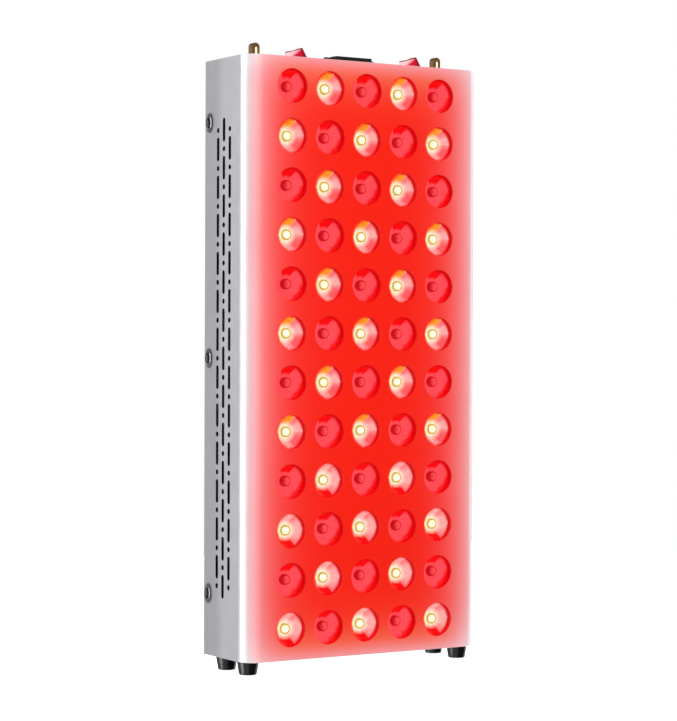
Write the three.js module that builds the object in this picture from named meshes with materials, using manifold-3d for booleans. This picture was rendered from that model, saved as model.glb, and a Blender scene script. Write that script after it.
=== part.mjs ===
// Red light therapy panel: a sheet steel box with a lamp grid in front, switches on top and fans behind.
// Millimetres, +Z up. The front faces -Y, and +X is to the right for someone who faces the lamps.

import * as THREE from 'three';
import { mergeVertices } from 'three/addons/utils/BufferGeometryUtils.js';
import Module from 'manifold-3d';

const wasm = await Module();
wasm.setup();

// Clearances shared by all pieces
const seatGap = 0.3;
const runningGap = 0.5;
const cutOverrun = 1;

// Shell
const shellWidth = 223.6;
const shellDepth = 70.8;
const shellHeight = 483;
const sheetThickness = 1.2;
const bendRadius = 14;
const bendSteps = 4;
const flangeDepth = 12;

// Lamp grid: it fills the front inside its margins
const lampRows = 12;
const lampColumns = 5;
const lampSideMargin = 23.2;
const lampEndMargin = 4.2;
const lampGridRise = 0.5;
const lampPitchX = (shellWidth - 2 * lampSideMargin) / lampColumns;
const lampPitchZ = (shellHeight - 2 * lampEndMargin) / lampRows;
const lampHoleShare = 0.783;
const lampHoleDiameter = Math.min(lampPitchX, lampPitchZ) * lampHoleShare;
const lampHoleSides = 12;

// Reflector modules: a straight well behind each lamp opening, then a six-sided taper down to the emitter
const rowsPerModule = 2;
const reflectorDepth = 10.2;
const wellDepth = 4.1;
const wellMargin = 1.2;
const wellRadius = lampHoleDiameter / 2 + wellMargin;
const reflectorFootRadius = 5.6;
const moduleGap = 0.4;
const emitterSize = 6.4;
const emitterHeight = 3.4;

// LED board, heat sink and its rails
const boardSideMargin = 7.3;
const boardEndMargin = 7.5;
const boardThickness = 1.6;
const heatSinkEndMargin = 22.5;
const heatSinkBase = 3;
const heatSinkFinHeight = 15;
const heatSinkFinThickness = 1.8;
const heatSinkFinShare = 0.0686;
const heatSinkFins = 13;
const railThickness = 1.5;
const railLeg = 9.5;
const railMargin = 14;

// Vents in both sides: columns of slots and dots that take turns
const ventColumns = 3;
const ventColumnPitch = 9.7;
const ventCentreShare = 0.554;
const ventSteps = 25;
const ventEndMargin = 57.7;
const ventPitch = (shellHeight - 2 * ventEndMargin) / (ventSteps - 1);
const ventSlotShare = 1.25;
const ventSlotWidth = 3.1;
const ventDotWidth = 3.3;

// Screws along the rear edge of each side
const sideScrewsPerSide = 3;
const sideScrewEndMargin = 50.5;
const sideScrewInset = 8.4;
const sideScrewShank = 4;
const sideScrewLength = 6;
const sideScrewFlangeDiameter = 15.8;
const sideScrewFlangeThickness = 1;
const sideScrewDomeDiameter = 9;
const sideScrewDomeHeight = 2.4;

// Feet
const footHeight = 10.8;
const footTopDiameter = 16.6;
const footBottomDiameter = 13;
const footInset = 10.6;
const footFrontDepth = 16;
const footRearInset = 20;
const footScrewShank = 3.6;
const footScrewHeadDiameter = 6.6;
const footScrewHeadHeight = 2.4;
const footScrewLength = 12;
const footRecessDepth = 4;

// Rocker switches
const switchShare = 0.2473;
const switchDepth = 20.7;
const bezelWidth = 23;
const bezelDepth = 13.6;
const bezelHeight = 1.4;
const switchBodyHeight = 14;
const switchWall = 1.2;
const switchTab = { spacing: 11, width: 4.8, thickness: 0.8, length: 5 };
const rockerBaseLength = 17.2;
const rockerTopLength = 12.8;
const rockerThickness = 7.8;
const rockerHeight = 8.6;
const rockerDish = 1;
const rockerDishSteps = 4;
const rockerKeel = 4;
const rockerTilt = 16.3;
const rockerPinDiameter = 2.4;
const rockerPivotDrop = 1.6;

// Mains inlet
const inletDepth = 31.4;
const inletEarSpan = 48.4;
const inletEarTip = 8;
const inletFlangeThickness = 3.8;
const inletRimLength = 35.4;
const inletRimWidth = 21;
const inletRimCorner = 4.5;
const inletRimHeight = 6.4;
const inletBodyLength = 27.6;
const inletBodyWidth = 19.8;
const inletBodyDrop = 14;
const socketLength = 24.6;
const socketWidth = 16.8;
const socketDepth = 17;
const socketChamfer = 4.4;
const inletPinWidth = 2;
const inletPinBreadth = 4;
const inletPinReach = 12;
const inletPinTail = 8;
const inletPinSpacing = 7;
const inletEarthOffset = 4;
const inletScrewSpacing = 41.6;
const inletScrewShank = 3;
const inletScrewHead = 4.8;
const inletScrewHeadHeight = 1.6;
const inletScrewLength = 9;

// Brass hanging eyes
const eyeInset = 23.8;
const eyeDepth = 32.8;
const eyeWidth = 7;
const eyeBreadth = 6;
const eyeHeight = 12.9;
const eyeSlotWidth = 2.4;
const eyeSlotFloor = 2.6;
const eyeCrown = 3.4;
const eyeCollarDiameter = 10;
const eyeCollarHeight = 1.4;
const eyeStemDiameter = 5;
const eyeStemLength = 8;
const eyeNutAcross = 9;
const eyeNutHeight = 4;

// Fans and the grilles over them
const fanEndInset = 91.5;
const fanSize = 80;
const fanThickness = 25;
const fanRim = 2;
const fanBore = fanSize - 2 * fanRim;
const fanBoreSides = 18;
const motorSides = 12;
const fanScrewInset = 4.25;
const fanScrewPitch = fanSize - 2 * fanScrewInset;
const fanStrutWidth = 3;
const fanStrutThickness = 2.5;
const motorDiameter = 32;
const fanHubDiameter = 30;
const fanHubDepth = 19;
const fanShaftDiameter = 3;
const fanShaftReach = 8;
const bladeCount = 7;
const bladeThickness = 1.6;
const bladeHalfChord = 9;
const bladeRise = 13;
const bladeCamber = 1.6;
const bladeTipGap = 1;
const grilleRings = 3;
const grilleHubRadius = 8.5;
const grilleRim = 5;
const grilleSlotWidth = 5;
const grilleSpokes = 4;
const grilleSpokeWidth = 5;
const grilleHubHole = 4;
const fanScrewShank = 3;
const fanScrewLength = 7;
const fanScrewHeadDiameter = 6.4;
const fanScrewHeadHeight = 1.8;

// LED drivers
const driverThickness = 27;
const driverSideRoom = 17.3;
const driverMiddleRoom = 8;
const driverFanRoom = 35;
const driverEarLength = 8;
const driverEarThickness = 2;

// How far out and up a domed head has its shoulder
const domeShare = 0.7;

// Facets of small round pieces
const screwSides = 6;
const footSides = 10;
const hexSides = 6;
const hubSides = 12;
const roundSides = 8;

// Finishes
function finish(color, roughness, metalness) {
  return new THREE.MeshStandardMaterial({ color, roughness, metalness });
}

const whitePaint = finish(0xe9e8ea, 0.38, 0.1);
const metallised = finish(0xf2c7bd, 0.18, 0.9);
const boardMask = finish(0xefe9e2, 0.5, 0.1);
const bareAluminium = finish(0xb8bbbf, 0.4, 0.9);
const blackPlastic = finish(0x17171a, 0.45, 0.05);
const blackRubber = finish(0x1b1b1c, 0.8, 0.0);
const darkChrome = finish(0x4a4a4e, 0.22, 0.95);
const brass = finish(0x9a7138, 0.28, 0.95);
const redPlastic = finish(0xb8202c, 0.18, 0.0);
const zincSteel = finish(0xc4c6c9, 0.35, 0.9);

// Turns a closed three.js geometry into a solid that can be cut and joined
function solidOf(geometry) {
  const bare = geometry.clone();
  bare.deleteAttribute('normal');
  bare.deleteAttribute('uv');
  const merged = mergeVertices(bare);
  return new wasm.Manifold(new wasm.Mesh({
    numProp: 3,
    vertProperties: new Float32Array(merged.attributes.position.array),
    triVerts: new Uint32Array(merged.index.array),
  }));
}

function geometryOf(solid) {
  const cut = solid.getMesh();
  const geometry = new THREE.BufferGeometry();
  geometry.setAttribute('position', new THREE.BufferAttribute(new Float32Array(cut.vertProperties), 3));
  geometry.setIndex(new THREE.BufferAttribute(new Uint32Array(cut.triVerts), 1));
  geometry.computeVertexNormals();
  return geometry;
}

// A block given by its lowest corner and its size
function block(x, y, z, sizeX, sizeY, sizeZ) {
  const geometry = new THREE.BoxGeometry(sizeX, sizeY, sizeZ);
  geometry.translate(x + sizeX / 2, y + sizeY / 2, z + sizeZ / 2);
  return solidOf(geometry);
}

// An outline in X and Y, raised along Z from a height
function raised(outline, z, height, curveSegments = bendSteps) {
  const geometry = new THREE.ExtrudeGeometry(outline, { depth: height, bevelEnabled: false, curveSegments });
  geometry.translate(0, 0, z);
  return solidOf(geometry);
}

// An outline in X and Z, drawn out along Y from a depth
function drawnBack(outline, y, depth, curveSegments = bendSteps) {
  const geometry = new THREE.ExtrudeGeometry(outline, { depth, bevelEnabled: false, curveSegments });
  geometry.rotateX(Math.PI / 2);
  geometry.translate(0, y + depth, 0);
  return solidOf(geometry);
}

// Round rods along each axis, given by the middle of one end
function rodUp(radius, x, y, z, length, sides = roundSides) {
  const geometry = new THREE.CylinderGeometry(radius, radius, length, sides);
  geometry.rotateX(Math.PI / 2);
  geometry.translate(x, y, z + length / 2);
  return solidOf(geometry);
}

function rodBack(radius, x, y, z, length, sides = roundSides) {
  const geometry = new THREE.CylinderGeometry(radius, radius, length, sides);
  geometry.translate(x, y + length / 2, z);
  return solidOf(geometry);
}

function rodAcross(radius, x, y, z, length, sides = roundSides) {
  const geometry = new THREE.CylinderGeometry(radius, radius, length, sides);
  geometry.rotateZ(Math.PI / 2);
  geometry.translate(x + length / 2, y, z);
  return solidOf(geometry);
}

function polygon(points) {
  return new THREE.Shape(points.map(([x, y]) => new THREE.Vector2(x, y)));
}

function turned(profile, sides) {
  return new THREE.LatheGeometry(profile.map(([r, y]) => new THREE.Vector2(r, y)), sides);
}

// The group stands on the feet, and its own frame runs from the front face back and from the shell up
const fanScrewProud = seatGap + fanScrewHeadHeight;
const panel = new THREE.Group();
const housing = new THREE.Group();
housing.position.set(0, -(shellDepth + fanScrewProud) / 2, footHeight);
panel.add(housing);

function place(name, geometry, material, x = 0, y = 0, z = 0, parent = housing) {
  const mesh = new THREE.Mesh(geometry, material);
  mesh.name = name;
  mesh.position.set(x, y, z);
  parent.add(mesh);
  return mesh;
}

// Places that several pieces share
const lampGridCentre = shellHeight / 2 + lampGridRise;
const boardWidth = 2 * (shellWidth / 2 - sheetThickness - boardSideMargin);
const boardHeight = shellHeight - 2 * boardEndMargin;
const heatSinkHeight = shellHeight - 2 * heatSinkEndMargin;
const heatSinkFinPitch = boardWidth * heatSinkFinShare;
const lampX = (column) => (column - (lampColumns - 1) / 2) * lampPitchX;
const lampZ = (row) => lampGridCentre + ((lampRows - 1) / 2 - row) * lampPitchZ;
const innerSide = shellWidth / 2 - sheetThickness;
const rearPlateDepth = shellDepth - sheetThickness;
const topUnderside = shellHeight - sheetThickness;
const sideScrewPitch = (shellHeight - 2 * sideScrewEndMargin) / (sideScrewsPerSide - 1);
const sideScrewZ = (index) => sideScrewEndMargin + index * sideScrewPitch;
const sideScrewDepth = shellDepth - sideScrewInset;
const footX = shellWidth / 2 - footInset;
const footRearDepth = shellDepth - footRearInset;
const switchOffset = shellWidth * switchShare;
const eyeOffset = shellWidth / 2 - eyeInset;
const fanCentres = { lower: fanEndInset, upper: shellHeight - fanEndInset };
const driverWidth = innerSide - driverSideRoom - driverMiddleRoom;
const driverOffset = driverMiddleRoom + driverWidth / 2;
const driverHeight = shellHeight - 2 * (fanEndInset + fanSize / 2 + driverFanRoom);
const fanCorners = [[-1, -1], [1, -1], [-1, 1], [1, 1]].map(([i, k]) => [i * fanScrewPitch / 2, k * fanScrewPitch / 2]);

// Front shell: front and both sides in one folded sheet
function frontShell() {
  const half = shellWidth / 2;
  const outer = bendRadius;
  const inner = bendRadius - sheetThickness;
  const outline = new THREE.Shape();
  outline.moveTo(-half, shellDepth);
  outline.lineTo(-half, outer);
  outline.absarc(-half + outer, outer, outer, Math.PI, Math.PI * 1.5, false);
  outline.lineTo(half - outer, 0);
  outline.absarc(half - outer, outer, outer, -Math.PI / 2, 0, false);
  outline.lineTo(half, shellDepth);
  outline.lineTo(half - sheetThickness, shellDepth);
  outline.lineTo(half - sheetThickness, outer);
  outline.absarc(half - outer, outer, inner, 0, -Math.PI / 2, true);
  outline.lineTo(-half + outer, sheetThickness);
  outline.absarc(-half + outer, outer, inner, -Math.PI / 2, -Math.PI, true);
  outline.lineTo(-half + sheetThickness, shellDepth);
  outline.closePath();
  let shell = raised(outline, 0, shellHeight);

  const wall = sheetThickness + 2 * cutOverrun;
  for (let row = 0; row < lampRows; row++) {
    for (let column = 0; column < lampColumns; column++) {
      const hole = rodBack(lampHoleDiameter / 2, lampX(column), -cutOverrun, lampZ(row), wall, lampHoleSides);
      shell = shell.subtract(hole);
    }
  }
  const span = shellWidth + 2 * cutOverrun;
  for (let column = 0; column < ventColumns; column++) {
    const depth = shellDepth * ventCentreShare + (column - (ventColumns - 1) / 2) * ventColumnPitch;
    for (let step = 0; step < ventSteps; step++) {
      const isSlot = (step + column) % 2 === 1;
      const width = isSlot ? ventSlotWidth : ventDotWidth;
      const length = isSlot ? ventPitch * ventSlotShare : ventDotWidth;
      const z = shellHeight / 2 + ((ventSteps - 1) / 2 - step) * ventPitch;
      shell = shell.subtract(block(-span / 2, depth - width / 2, z - length / 2, span, width, length));
    }
  }
  for (let index = 0; index < sideScrewsPerSide; index++) {
    const radius = sideScrewShank / 2 + seatGap;
    shell = shell.subtract(rodAcross(radius, -span / 2, sideScrewDepth, sideScrewZ(index), span, screwSides));
  }
  return geometryOf(shell);
}

// Top plate and bottom plate: sheet that follows the inside of the fold, with a flange along each side
function endPlate(isTop) {
  const half = innerSide - seatGap;
  const corner = bendRadius - sheetThickness - seatGap;
  const front = bendRadius - corner;
  const outline = new THREE.Shape();
  outline.moveTo(-half, shellDepth);
  outline.lineTo(-half, bendRadius);
  outline.absarc(-half + corner, bendRadius, corner, Math.PI, Math.PI * 1.5, false);
  outline.lineTo(half - corner, front);
  outline.absarc(half - corner, bendRadius, corner, -Math.PI / 2, 0, false);
  outline.lineTo(half, shellDepth);
  outline.closePath();
  const z = isTop ? topUnderside : 0;
  const flangeZ = isTop ? z - flangeDepth : z;
  const flangeEnd = rearPlateDepth - flangeDepth - runningGap;
  let plate = raised(outline, z, sheetThickness);
  for (const x of [-half, half - sheetThickness]) {
    const height = flangeDepth + sheetThickness;
    plate = plate.add(block(x, bendRadius, flangeZ, sheetThickness, flangeEnd - bendRadius, height));
  }
  return plate;
}

function topPlate() {
  let plate = endPlate(true);
  const z = topUnderside - cutOverrun;
  const height = sheetThickness + 2 * cutOverrun;
  for (const side of [-1, 1]) {
    const width = switchBodyWidth + 2 * seatGap;
    const depth = switchBodyDepth + 2 * seatGap;
    plate = plate.subtract(block(side * switchOffset - width / 2, switchDepth - depth / 2, z, width, depth, height));
    plate = plate.subtract(rodUp(eyeStemDiameter / 2 + seatGap, side * eyeOffset, eyeDepth, z, height));
    const screwX = side * inletScrewSpacing / 2;
    plate = plate.subtract(rodUp(inletScrewShank / 2 + seatGap, screwX, inletDepth, z, height, screwSides));
  }
  const length = inletBodyLength + 2 * seatGap;
  const width = inletBodyWidth + 2 * seatGap;
  plate = plate.subtract(block(-length / 2, inletDepth - width / 2, z, length, width, height));
  return geometryOf(plate);
}

function bottomPlate() {
  let plate = endPlate(false);
  for (const x of [-footX, footX]) {
    for (const depth of [footFrontDepth, footRearDepth]) {
      const radius = footScrewShank / 2 + seatGap;
      plate = plate.subtract(rodUp(radius, x, depth, -cutOverrun, sheetThickness + 2 * cutOverrun, screwSides));
    }
  }
  return geometryOf(plate);
}

// Rear cover: a tray with flanges forward, and a grille of ring slots over each fan
function rearCover() {
  const half = innerSide - seatGap;
  const low = sheetThickness + seatGap;
  const high = topUnderside - seatGap;
  const front = rearPlateDepth - flangeDepth;
  let cover = block(-half, front, low, 2 * half, shellDepth - front, high - low);
  const inside = half - sheetThickness;
  cover = cover.subtract(block(
    -inside, front - cutOverrun, low + sheetThickness,
    2 * inside, flangeDepth + cutOverrun, high - low - 2 * sheetThickness,
  ));
  const wall = sheetThickness + 2 * cutOverrun;
  const back = rearPlateDepth - cutOverrun;
  for (const centre of Object.values(fanCentres)) {
    for (let ring = 0; ring < grilleRings; ring++) {
      for (let spoke = 0; spoke < grilleSpokes; spoke++) {
        const slot = ringSlot(grilleRadius(ring), ring + 2, spoke);
        cover = cover.subtract(drawnBack(slot, back, wall).translate(0, 0, centre));
      }
    }
    cover = cover.subtract(rodBack(grilleHubHole / 2, 0, back, centre, wall, screwSides));
    for (const [x, z] of fanCorners) {
      cover = cover.subtract(rodBack(fanScrewShank / 2 + seatGap, x, back, centre + z, wall, screwSides));
    }
  }
  const span = shellWidth;
  for (let index = 0; index < sideScrewsPerSide; index++) {
    const radius = sideScrewShank / 2 + seatGap;
    cover = cover.subtract(rodAcross(radius, -span / 2, sideScrewDepth, sideScrewZ(index), span, screwSides));
  }
  return geometryOf(cover);
}

// The rings of the grille share the room between its plain centre and the fan's rim
function grilleRadius(ring) {
  const reach = fanBore / 2 - grilleRim - grilleHubRadius;
  return grilleHubRadius + grilleSlotWidth / 2 + ring * (reach - grilleSlotWidth) / (grilleRings - 1);
}

// One curved slot of the grille, between two spokes
function ringSlot(radius, steps, spoke) {
  const quarter = 2 * Math.PI / grilleSpokes;
  const points = [];
  for (const side of [1, -1]) {
    const r = radius + side * grilleSlotWidth / 2;
    const margin = Math.asin(grilleSpokeWidth / 2 / r);
    for (let step = 0; step <= steps; step++) {
      const share = side > 0 ? step / steps : 1 - step / steps;
      const angle = (spoke + 0.5) * quarter + margin + share * (quarter - 2 * margin);
      points.push([r * Math.cos(angle), r * Math.sin(angle)]);
    }
  }
  return polygon(points);
}

// Reflector module: a moulded block with a well and a tapered six-sided cup for each lamp
const moduleCount = lampRows / rowsPerModule;
const moduleFront = sheetThickness + seatGap;

function reflectorModule() {
  const width = lampColumns * lampPitchX - moduleGap;
  const height = rowsPerModule * lampPitchZ - moduleGap;
  const cup = cupCutter();
  let module = block(-width / 2, 0, -height / 2, width, reflectorDepth, height);
  for (let row = 0; row < rowsPerModule; row++) {
    for (let column = 0; column < lampColumns; column++) {
      const z = (row - (rowsPerModule - 1) / 2) * lampPitchZ;
      module = module.subtract(cup.translate(lampX(column), 0, z));
    }
  }
  return geometryOf(module);
}

// The cup is turned about its own axis, with a corner to each side
function cupCutter() {
  const geometry = turned([
    [0, 0], [wellRadius, 0], [wellRadius, wellDepth], [reflectorFootRadius, reflectorDepth], [0, reflectorDepth],
  ], hexSides);
  geometry.rotateY(Math.PI / 2);
  return solidOf(geometry);
}

// LED board with its emitters, front face at zero
function ledBoard() {
  let board = block(-boardWidth / 2, 0, -boardHeight / 2, boardWidth, boardThickness, boardHeight);
  const middle = shellHeight / 2;
  for (let row = 0; row < lampRows; row++) {
    for (let column = 0; column < lampColumns; column++) {
      const x = lampX(column) - emitterSize / 2;
      const z = lampZ(row) - middle - emitterSize / 2;
      const depth = emitterHeight + boardThickness / 2;
      board = board.add(block(x, -emitterHeight, z, emitterSize, depth, emitterSize));
    }
  }
  return geometryOf(board);
}

// Heat sink: an extruded profile, base in front and fins behind, base face at zero
function heatSink() {
  const points = [[-boardWidth / 2, 0], [boardWidth / 2, 0], [boardWidth / 2, heatSinkBase]];
  for (let fin = heatSinkFins - 1; fin >= 0; fin--) {
    const x = (fin - (heatSinkFins - 1) / 2) * heatSinkFinPitch;
    const half = heatSinkFinThickness / 2;
    const tip = heatSinkBase + heatSinkFinHeight;
    points.push([x + half, heatSinkBase], [x + half, tip], [x - half, tip], [x - half, heatSinkBase]);
  }
  points.push([-boardWidth / 2, heatSinkBase]);
  return geometryOf(raised(polygon(points), 0, heatSinkHeight));
}

// Angle rail that carries the heat sink on the shell's side
function rail(side) {
  const wall = innerSide - seatGap;
  const length = heatSinkHeight - 2 * railMargin;
  const points = [
    [wall, 0], [wall, railLeg], [wall - railThickness, railLeg],
    [wall - railThickness, railThickness], [wall - railLeg, railThickness], [wall - railLeg, 0],
  ];
  const outline = polygon(points.map(([x, y]) => [side * x, y]));
  return geometryOf(raised(outline, 0, length));
}

// Screw with a domed head, the head's seat at zero and the shank below
function domedScrew(shank, length, headDiameter, headHeight, flangeDiameter = 0, flangeThickness = 0) {
  const r = headDiameter / 2;
  const profile = [[0, -length], [shank / 2, -length], [shank / 2, 0]];
  if (flangeThickness > 0) {
    profile.push([flangeDiameter / 2, 0], [flangeDiameter / 2, flangeThickness]);
  }
  profile.push([r, flangeThickness], [r * domeShare, flangeThickness + headHeight * domeShare]);
  profile.push([0, flangeThickness + headHeight]);
  return turned(profile, flangeThickness > 0 ? roundSides : screwSides);
}

// Rubber foot: tapered, with a recess below for the screw head
function foot() {
  const hole = footScrewShank / 2 + seatGap;
  const recess = footScrewHeadDiameter / 2 + runningGap;
  const top = footHeight - seatGap;
  const geometry = turned([
    [hole, top], [hole, footRecessDepth], [recess, footRecessDepth], [recess, 0],
    [footBottomDiameter / 2, 0], [footTopDiameter / 2, top], [hole, top],
  ], footSides);
  geometry.rotateX(Math.PI / 2);
  return geometry;
}

// Rocker switch body: a well with a bezel on top, the plate's upper face at zero
const rockerClearance = runningGap;
const wellLength = rockerBaseLength + 2 * rockerClearance;
const wellBreadth = rockerThickness + 2 * seatGap;
const switchBodyWidth = wellLength + 2 * switchWall;
const switchBodyDepth = wellBreadth + 2 * switchWall;

function switchBody() {
  let body = block(-bezelWidth / 2, -bezelDepth / 2, seatGap, bezelWidth, bezelDepth, bezelHeight);
  const height = switchBodyHeight + seatGap + bezelHeight / 2;
  body = body.add(block(
    -switchBodyWidth / 2, -switchBodyDepth / 2, -switchBodyHeight, switchBodyWidth, switchBodyDepth, height,
  ));
  const floor = -switchBodyHeight + switchWall;
  const wellHeight = seatGap + bezelHeight + cutOverrun - floor;
  body = body.subtract(block(-wellLength / 2, -wellBreadth / 2, floor, wellLength, wellBreadth, wellHeight));
  const pinHole = rockerPinDiameter / 2 + seatGap;
  body = body.subtract(rodBack(pinHole, 0, -bezelDepth, -rockerPivotDrop, 2 * bezelDepth));
  const tab = switchTab;
  for (const x of [-tab.spacing / 2, tab.spacing / 2]) {
    const low = -switchBodyHeight - tab.length;
    body = body.add(block(x, -tab.width / 2, low, tab.thickness, tab.width, tab.length + switchWall / 2));
  }
  return geometryOf(body);
}

// Rocker about its pivot pins: high at the right end when at rest
function rocker() {
  const base = rockerBaseLength / 2;
  const top = rockerTopLength / 2;
  const pivot = rockerPivotDrop;
  const outline = new THREE.Shape();
  outline.moveTo(-base + rockerKeel / 2, -rockerKeel + pivot);
  outline.lineTo(base - rockerKeel / 2, -rockerKeel + pivot);
  outline.lineTo(base, pivot);
  outline.lineTo(top, rockerHeight + pivot);
  outline.quadraticCurveTo(0, rockerHeight + pivot - rockerDish, -top, rockerHeight + pivot);
  outline.lineTo(-base, pivot);
  outline.closePath();
  let body = drawnBack(outline, -rockerThickness / 2, rockerThickness, rockerDishSteps);
  const pinLength = wellBreadth + switchWall;
  body = body.add(rodBack(rockerPinDiameter / 2, 0, -pinLength / 2, 0, pinLength, screwSides));
  const geometry = geometryOf(body);
  geometry.rotateY(-THREE.MathUtils.degToRad(rockerTilt));
  return geometry;
}

// Mains inlet: eared flange, raised rim, body below the plate and a socket with chamfered corners
function inletSocket() {
  const ear = inletEarSpan / 2;
  const rim = inletRimLength / 2;
  const half = inletRimWidth / 2;
  const flange = polygon([
    [-rim, -half], [rim, -half], [ear, -inletEarTip / 2], [ear, inletEarTip / 2],
    [rim, half], [-rim, half], [-ear, inletEarTip / 2], [-ear, -inletEarTip / 2],
  ]);
  let socket = raised(flange, seatGap, inletFlangeThickness);
  const rimLow = inletFlangeThickness / 2;
  const rimTop = inletRimHeight;
  const corner = inletRimCorner;
  const face = polygon([
    [-rim + corner, -half], [rim - corner, -half], [rim, -half + corner], [rim, half - corner],
    [rim - corner, half], [-rim + corner, half], [-rim, half - corner], [-rim, -half + corner],
  ]);
  socket = socket.add(raised(face, rimLow, rimTop - rimLow));
  socket = socket.add(block(
    -inletBodyLength / 2, -inletBodyWidth / 2, -inletBodyDrop,
    inletBodyLength, inletBodyWidth, inletBodyDrop + inletFlangeThickness / 2,
  ));
  const a = socketLength / 2;
  const b = socketWidth / 2;
  const cavity = polygon([
    [-a, -b], [a, -b], [a, b - socketChamfer], [a - socketChamfer, b],
    [-a + socketChamfer, b], [-a, b - socketChamfer],
  ]);
  socket = socket.subtract(raised(cavity, rimTop - socketDepth, socketDepth + cutOverrun));
  for (const [x, y] of inletPinPlaces) {
    const sizeX = inletPinWidth + 2 * seatGap;
    const sizeY = inletPinBreadth + 2 * seatGap;
    const low = -inletBodyDrop - cutOverrun;
    socket = socket.subtract(block(x - sizeX / 2, y - sizeY / 2, low, sizeX, sizeY, inletBodyDrop));
  }
  for (const side of [-1, 1]) {
    const x = side * inletScrewSpacing / 2;
    const shank = inletScrewShank / 2 + seatGap;
    const height = inletFlangeThickness + 2 * cutOverrun;
    socket = socket.subtract(rodUp(shank, x, 0, -cutOverrun, height, screwSides));
  }
  return geometryOf(socket);
}

const inletPinPlaces = [
  [-inletPinSpacing, -inletEarthOffset / 2],
  [inletPinSpacing, -inletEarthOffset / 2],
  [0, inletEarthOffset / 2],
];

function inletPin() {
  const low = inletRimHeight - socketDepth - inletPinTail;
  const height = inletPinTail + inletPinReach;
  return geometryOf(block(-inletPinWidth / 2, -inletPinBreadth / 2, low, inletPinWidth, inletPinBreadth, height));
}

// Hanging eye: a brass arch with a narrow slot, on a collar with a stem through the plate
function hangingEye() {
  const half = eyeWidth / 2;
  const shoulder = eyeHeight - half;
  const arch = new THREE.Shape();
  arch.moveTo(-half, eyeCollarHeight);
  arch.lineTo(half, eyeCollarHeight);
  arch.lineTo(half, shoulder);
  arch.absarc(0, shoulder, half, 0, Math.PI, false);
  arch.closePath();
  const slotHalf = eyeSlotWidth / 2;
  const slotTop = eyeHeight - eyeCrown - slotHalf;
  const slot = new THREE.Path();
  slot.moveTo(-slotHalf, eyeSlotFloor);
  slot.lineTo(-slotHalf, slotTop);
  slot.absarc(0, slotTop, slotHalf, Math.PI, 0, true);
  slot.lineTo(slotHalf, eyeSlotFloor);
  slot.closePath();
  arch.holes.push(slot);
  let eye = drawnBack(arch, -eyeBreadth / 2, eyeBreadth, bendSteps);
  eye = eye.add(rodUp(eyeCollarDiameter / 2, 0, 0, seatGap, eyeCollarHeight));
  eye = eye.add(rodUp(eyeStemDiameter / 2, 0, 0, -eyeStemLength, eyeStemLength + eyeCollarHeight));
  return geometryOf(eye);
}

function eyeNut() {
  const corner = eyeNutAcross / Math.sqrt(3);
  const top = -sheetThickness - seatGap;
  const nut = rodUp(corner, 0, 0, top - eyeNutHeight, eyeNutHeight, hexSides);
  const hole = rodUp(eyeStemDiameter / 2 + seatGap, 0, 0, top - eyeNutHeight - cutOverrun, 2 * eyeNutHeight);
  return geometryOf(nut.subtract(hole));
}

// Fan frame: square with a round bore, a motor seat on four struts and a shaft, front face at zero
function fanFrame() {
  const half = fanSize / 2;
  let frame = block(-half, 0, -half, fanSize, fanThickness, fanSize);
  const bore = rodBack(fanBore / 2, 0, -cutOverrun, 0, fanThickness + 2 * cutOverrun, fanBoreSides);
  frame = frame.subtract(bore);
  for (const [x, z] of fanCorners) {
    const radius = fanScrewShank / 2 + seatGap;
    frame = frame.subtract(rodBack(radius, x, -cutOverrun, z, fanThickness + 2 * cutOverrun, screwSides));
  }
  const strutDepth = fanThickness - fanStrutThickness;
  const reach = fanBore / 2 + (half - fanBore / 2) / 2;
  frame = frame.add(block(-reach, strutDepth, -fanStrutWidth / 2, 2 * reach, fanStrutThickness, fanStrutWidth));
  frame = frame.add(block(-fanStrutWidth / 2, strutDepth, -reach, fanStrutWidth, fanStrutThickness, 2 * reach));
  frame = frame.add(rodBack(motorDiameter / 2, 0, strutDepth, 0, fanStrutThickness, motorSides));
  const shaftLength = fanShaftReach + fanStrutThickness / 2;
  frame = frame.add(rodBack(fanShaftDiameter / 2, 0, strutDepth - fanShaftReach, 0, shaftLength, screwSides));
  return geometryOf(frame);
}

// Fan rotor: hub on the shaft with curved blades, its rear face at zero
function fanRotor() {
  let rotor = rodBack(fanHubDiameter / 2, 0, -fanHubDepth, 0, fanHubDepth, hubSides);
  const tip = fanBore / 2 - bladeTipGap;
  const tipReach = Math.sqrt(tip * tip - bladeHalfChord * bladeHalfChord);
  const root = fanHubDiameter / 2 - bladeThickness;
  const rise = bladeRise / 2;
  const half = bladeThickness / 2;
  const section = polygon([
    [-bladeHalfChord, -rise - half], [0, bladeCamber - half], [bladeHalfChord, rise - half],
    [bladeHalfChord, rise + half], [0, bladeCamber + half], [-bladeHalfChord, -rise + half],
  ]);
  for (let blade = 0; blade < bladeCount; blade++) {
    const geometry = new THREE.ExtrudeGeometry(section, { depth: tipReach - root, bevelEnabled: false });
    geometry.translate(0, -fanHubDepth / 2, root);
    geometry.rotateY(blade * 2 * Math.PI / bladeCount);
    rotor = rotor.add(solidOf(geometry));
  }
  const bore = fanShaftDiameter / 2 + runningGap;
  const socketLow = -fanShaftReach - runningGap;
  rotor = rotor.subtract(rodBack(bore, 0, socketLow, 0, -socketLow + cutOverrun, screwSides));
  return geometryOf(rotor);
}

// LED driver: a closed case with an ear at each end, rear face at zero
function driver() {
  const half = driverWidth / 2;
  const height = driverHeight - 2 * driverEarLength;
  let body = block(-half, -driverThickness, -height / 2, driverWidth, driverThickness, height);
  body = body.add(block(
    -half, -driverEarThickness, -driverHeight / 2, driverWidth, driverEarThickness, driverHeight,
  ));
  return geometryOf(body);
}

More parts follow.
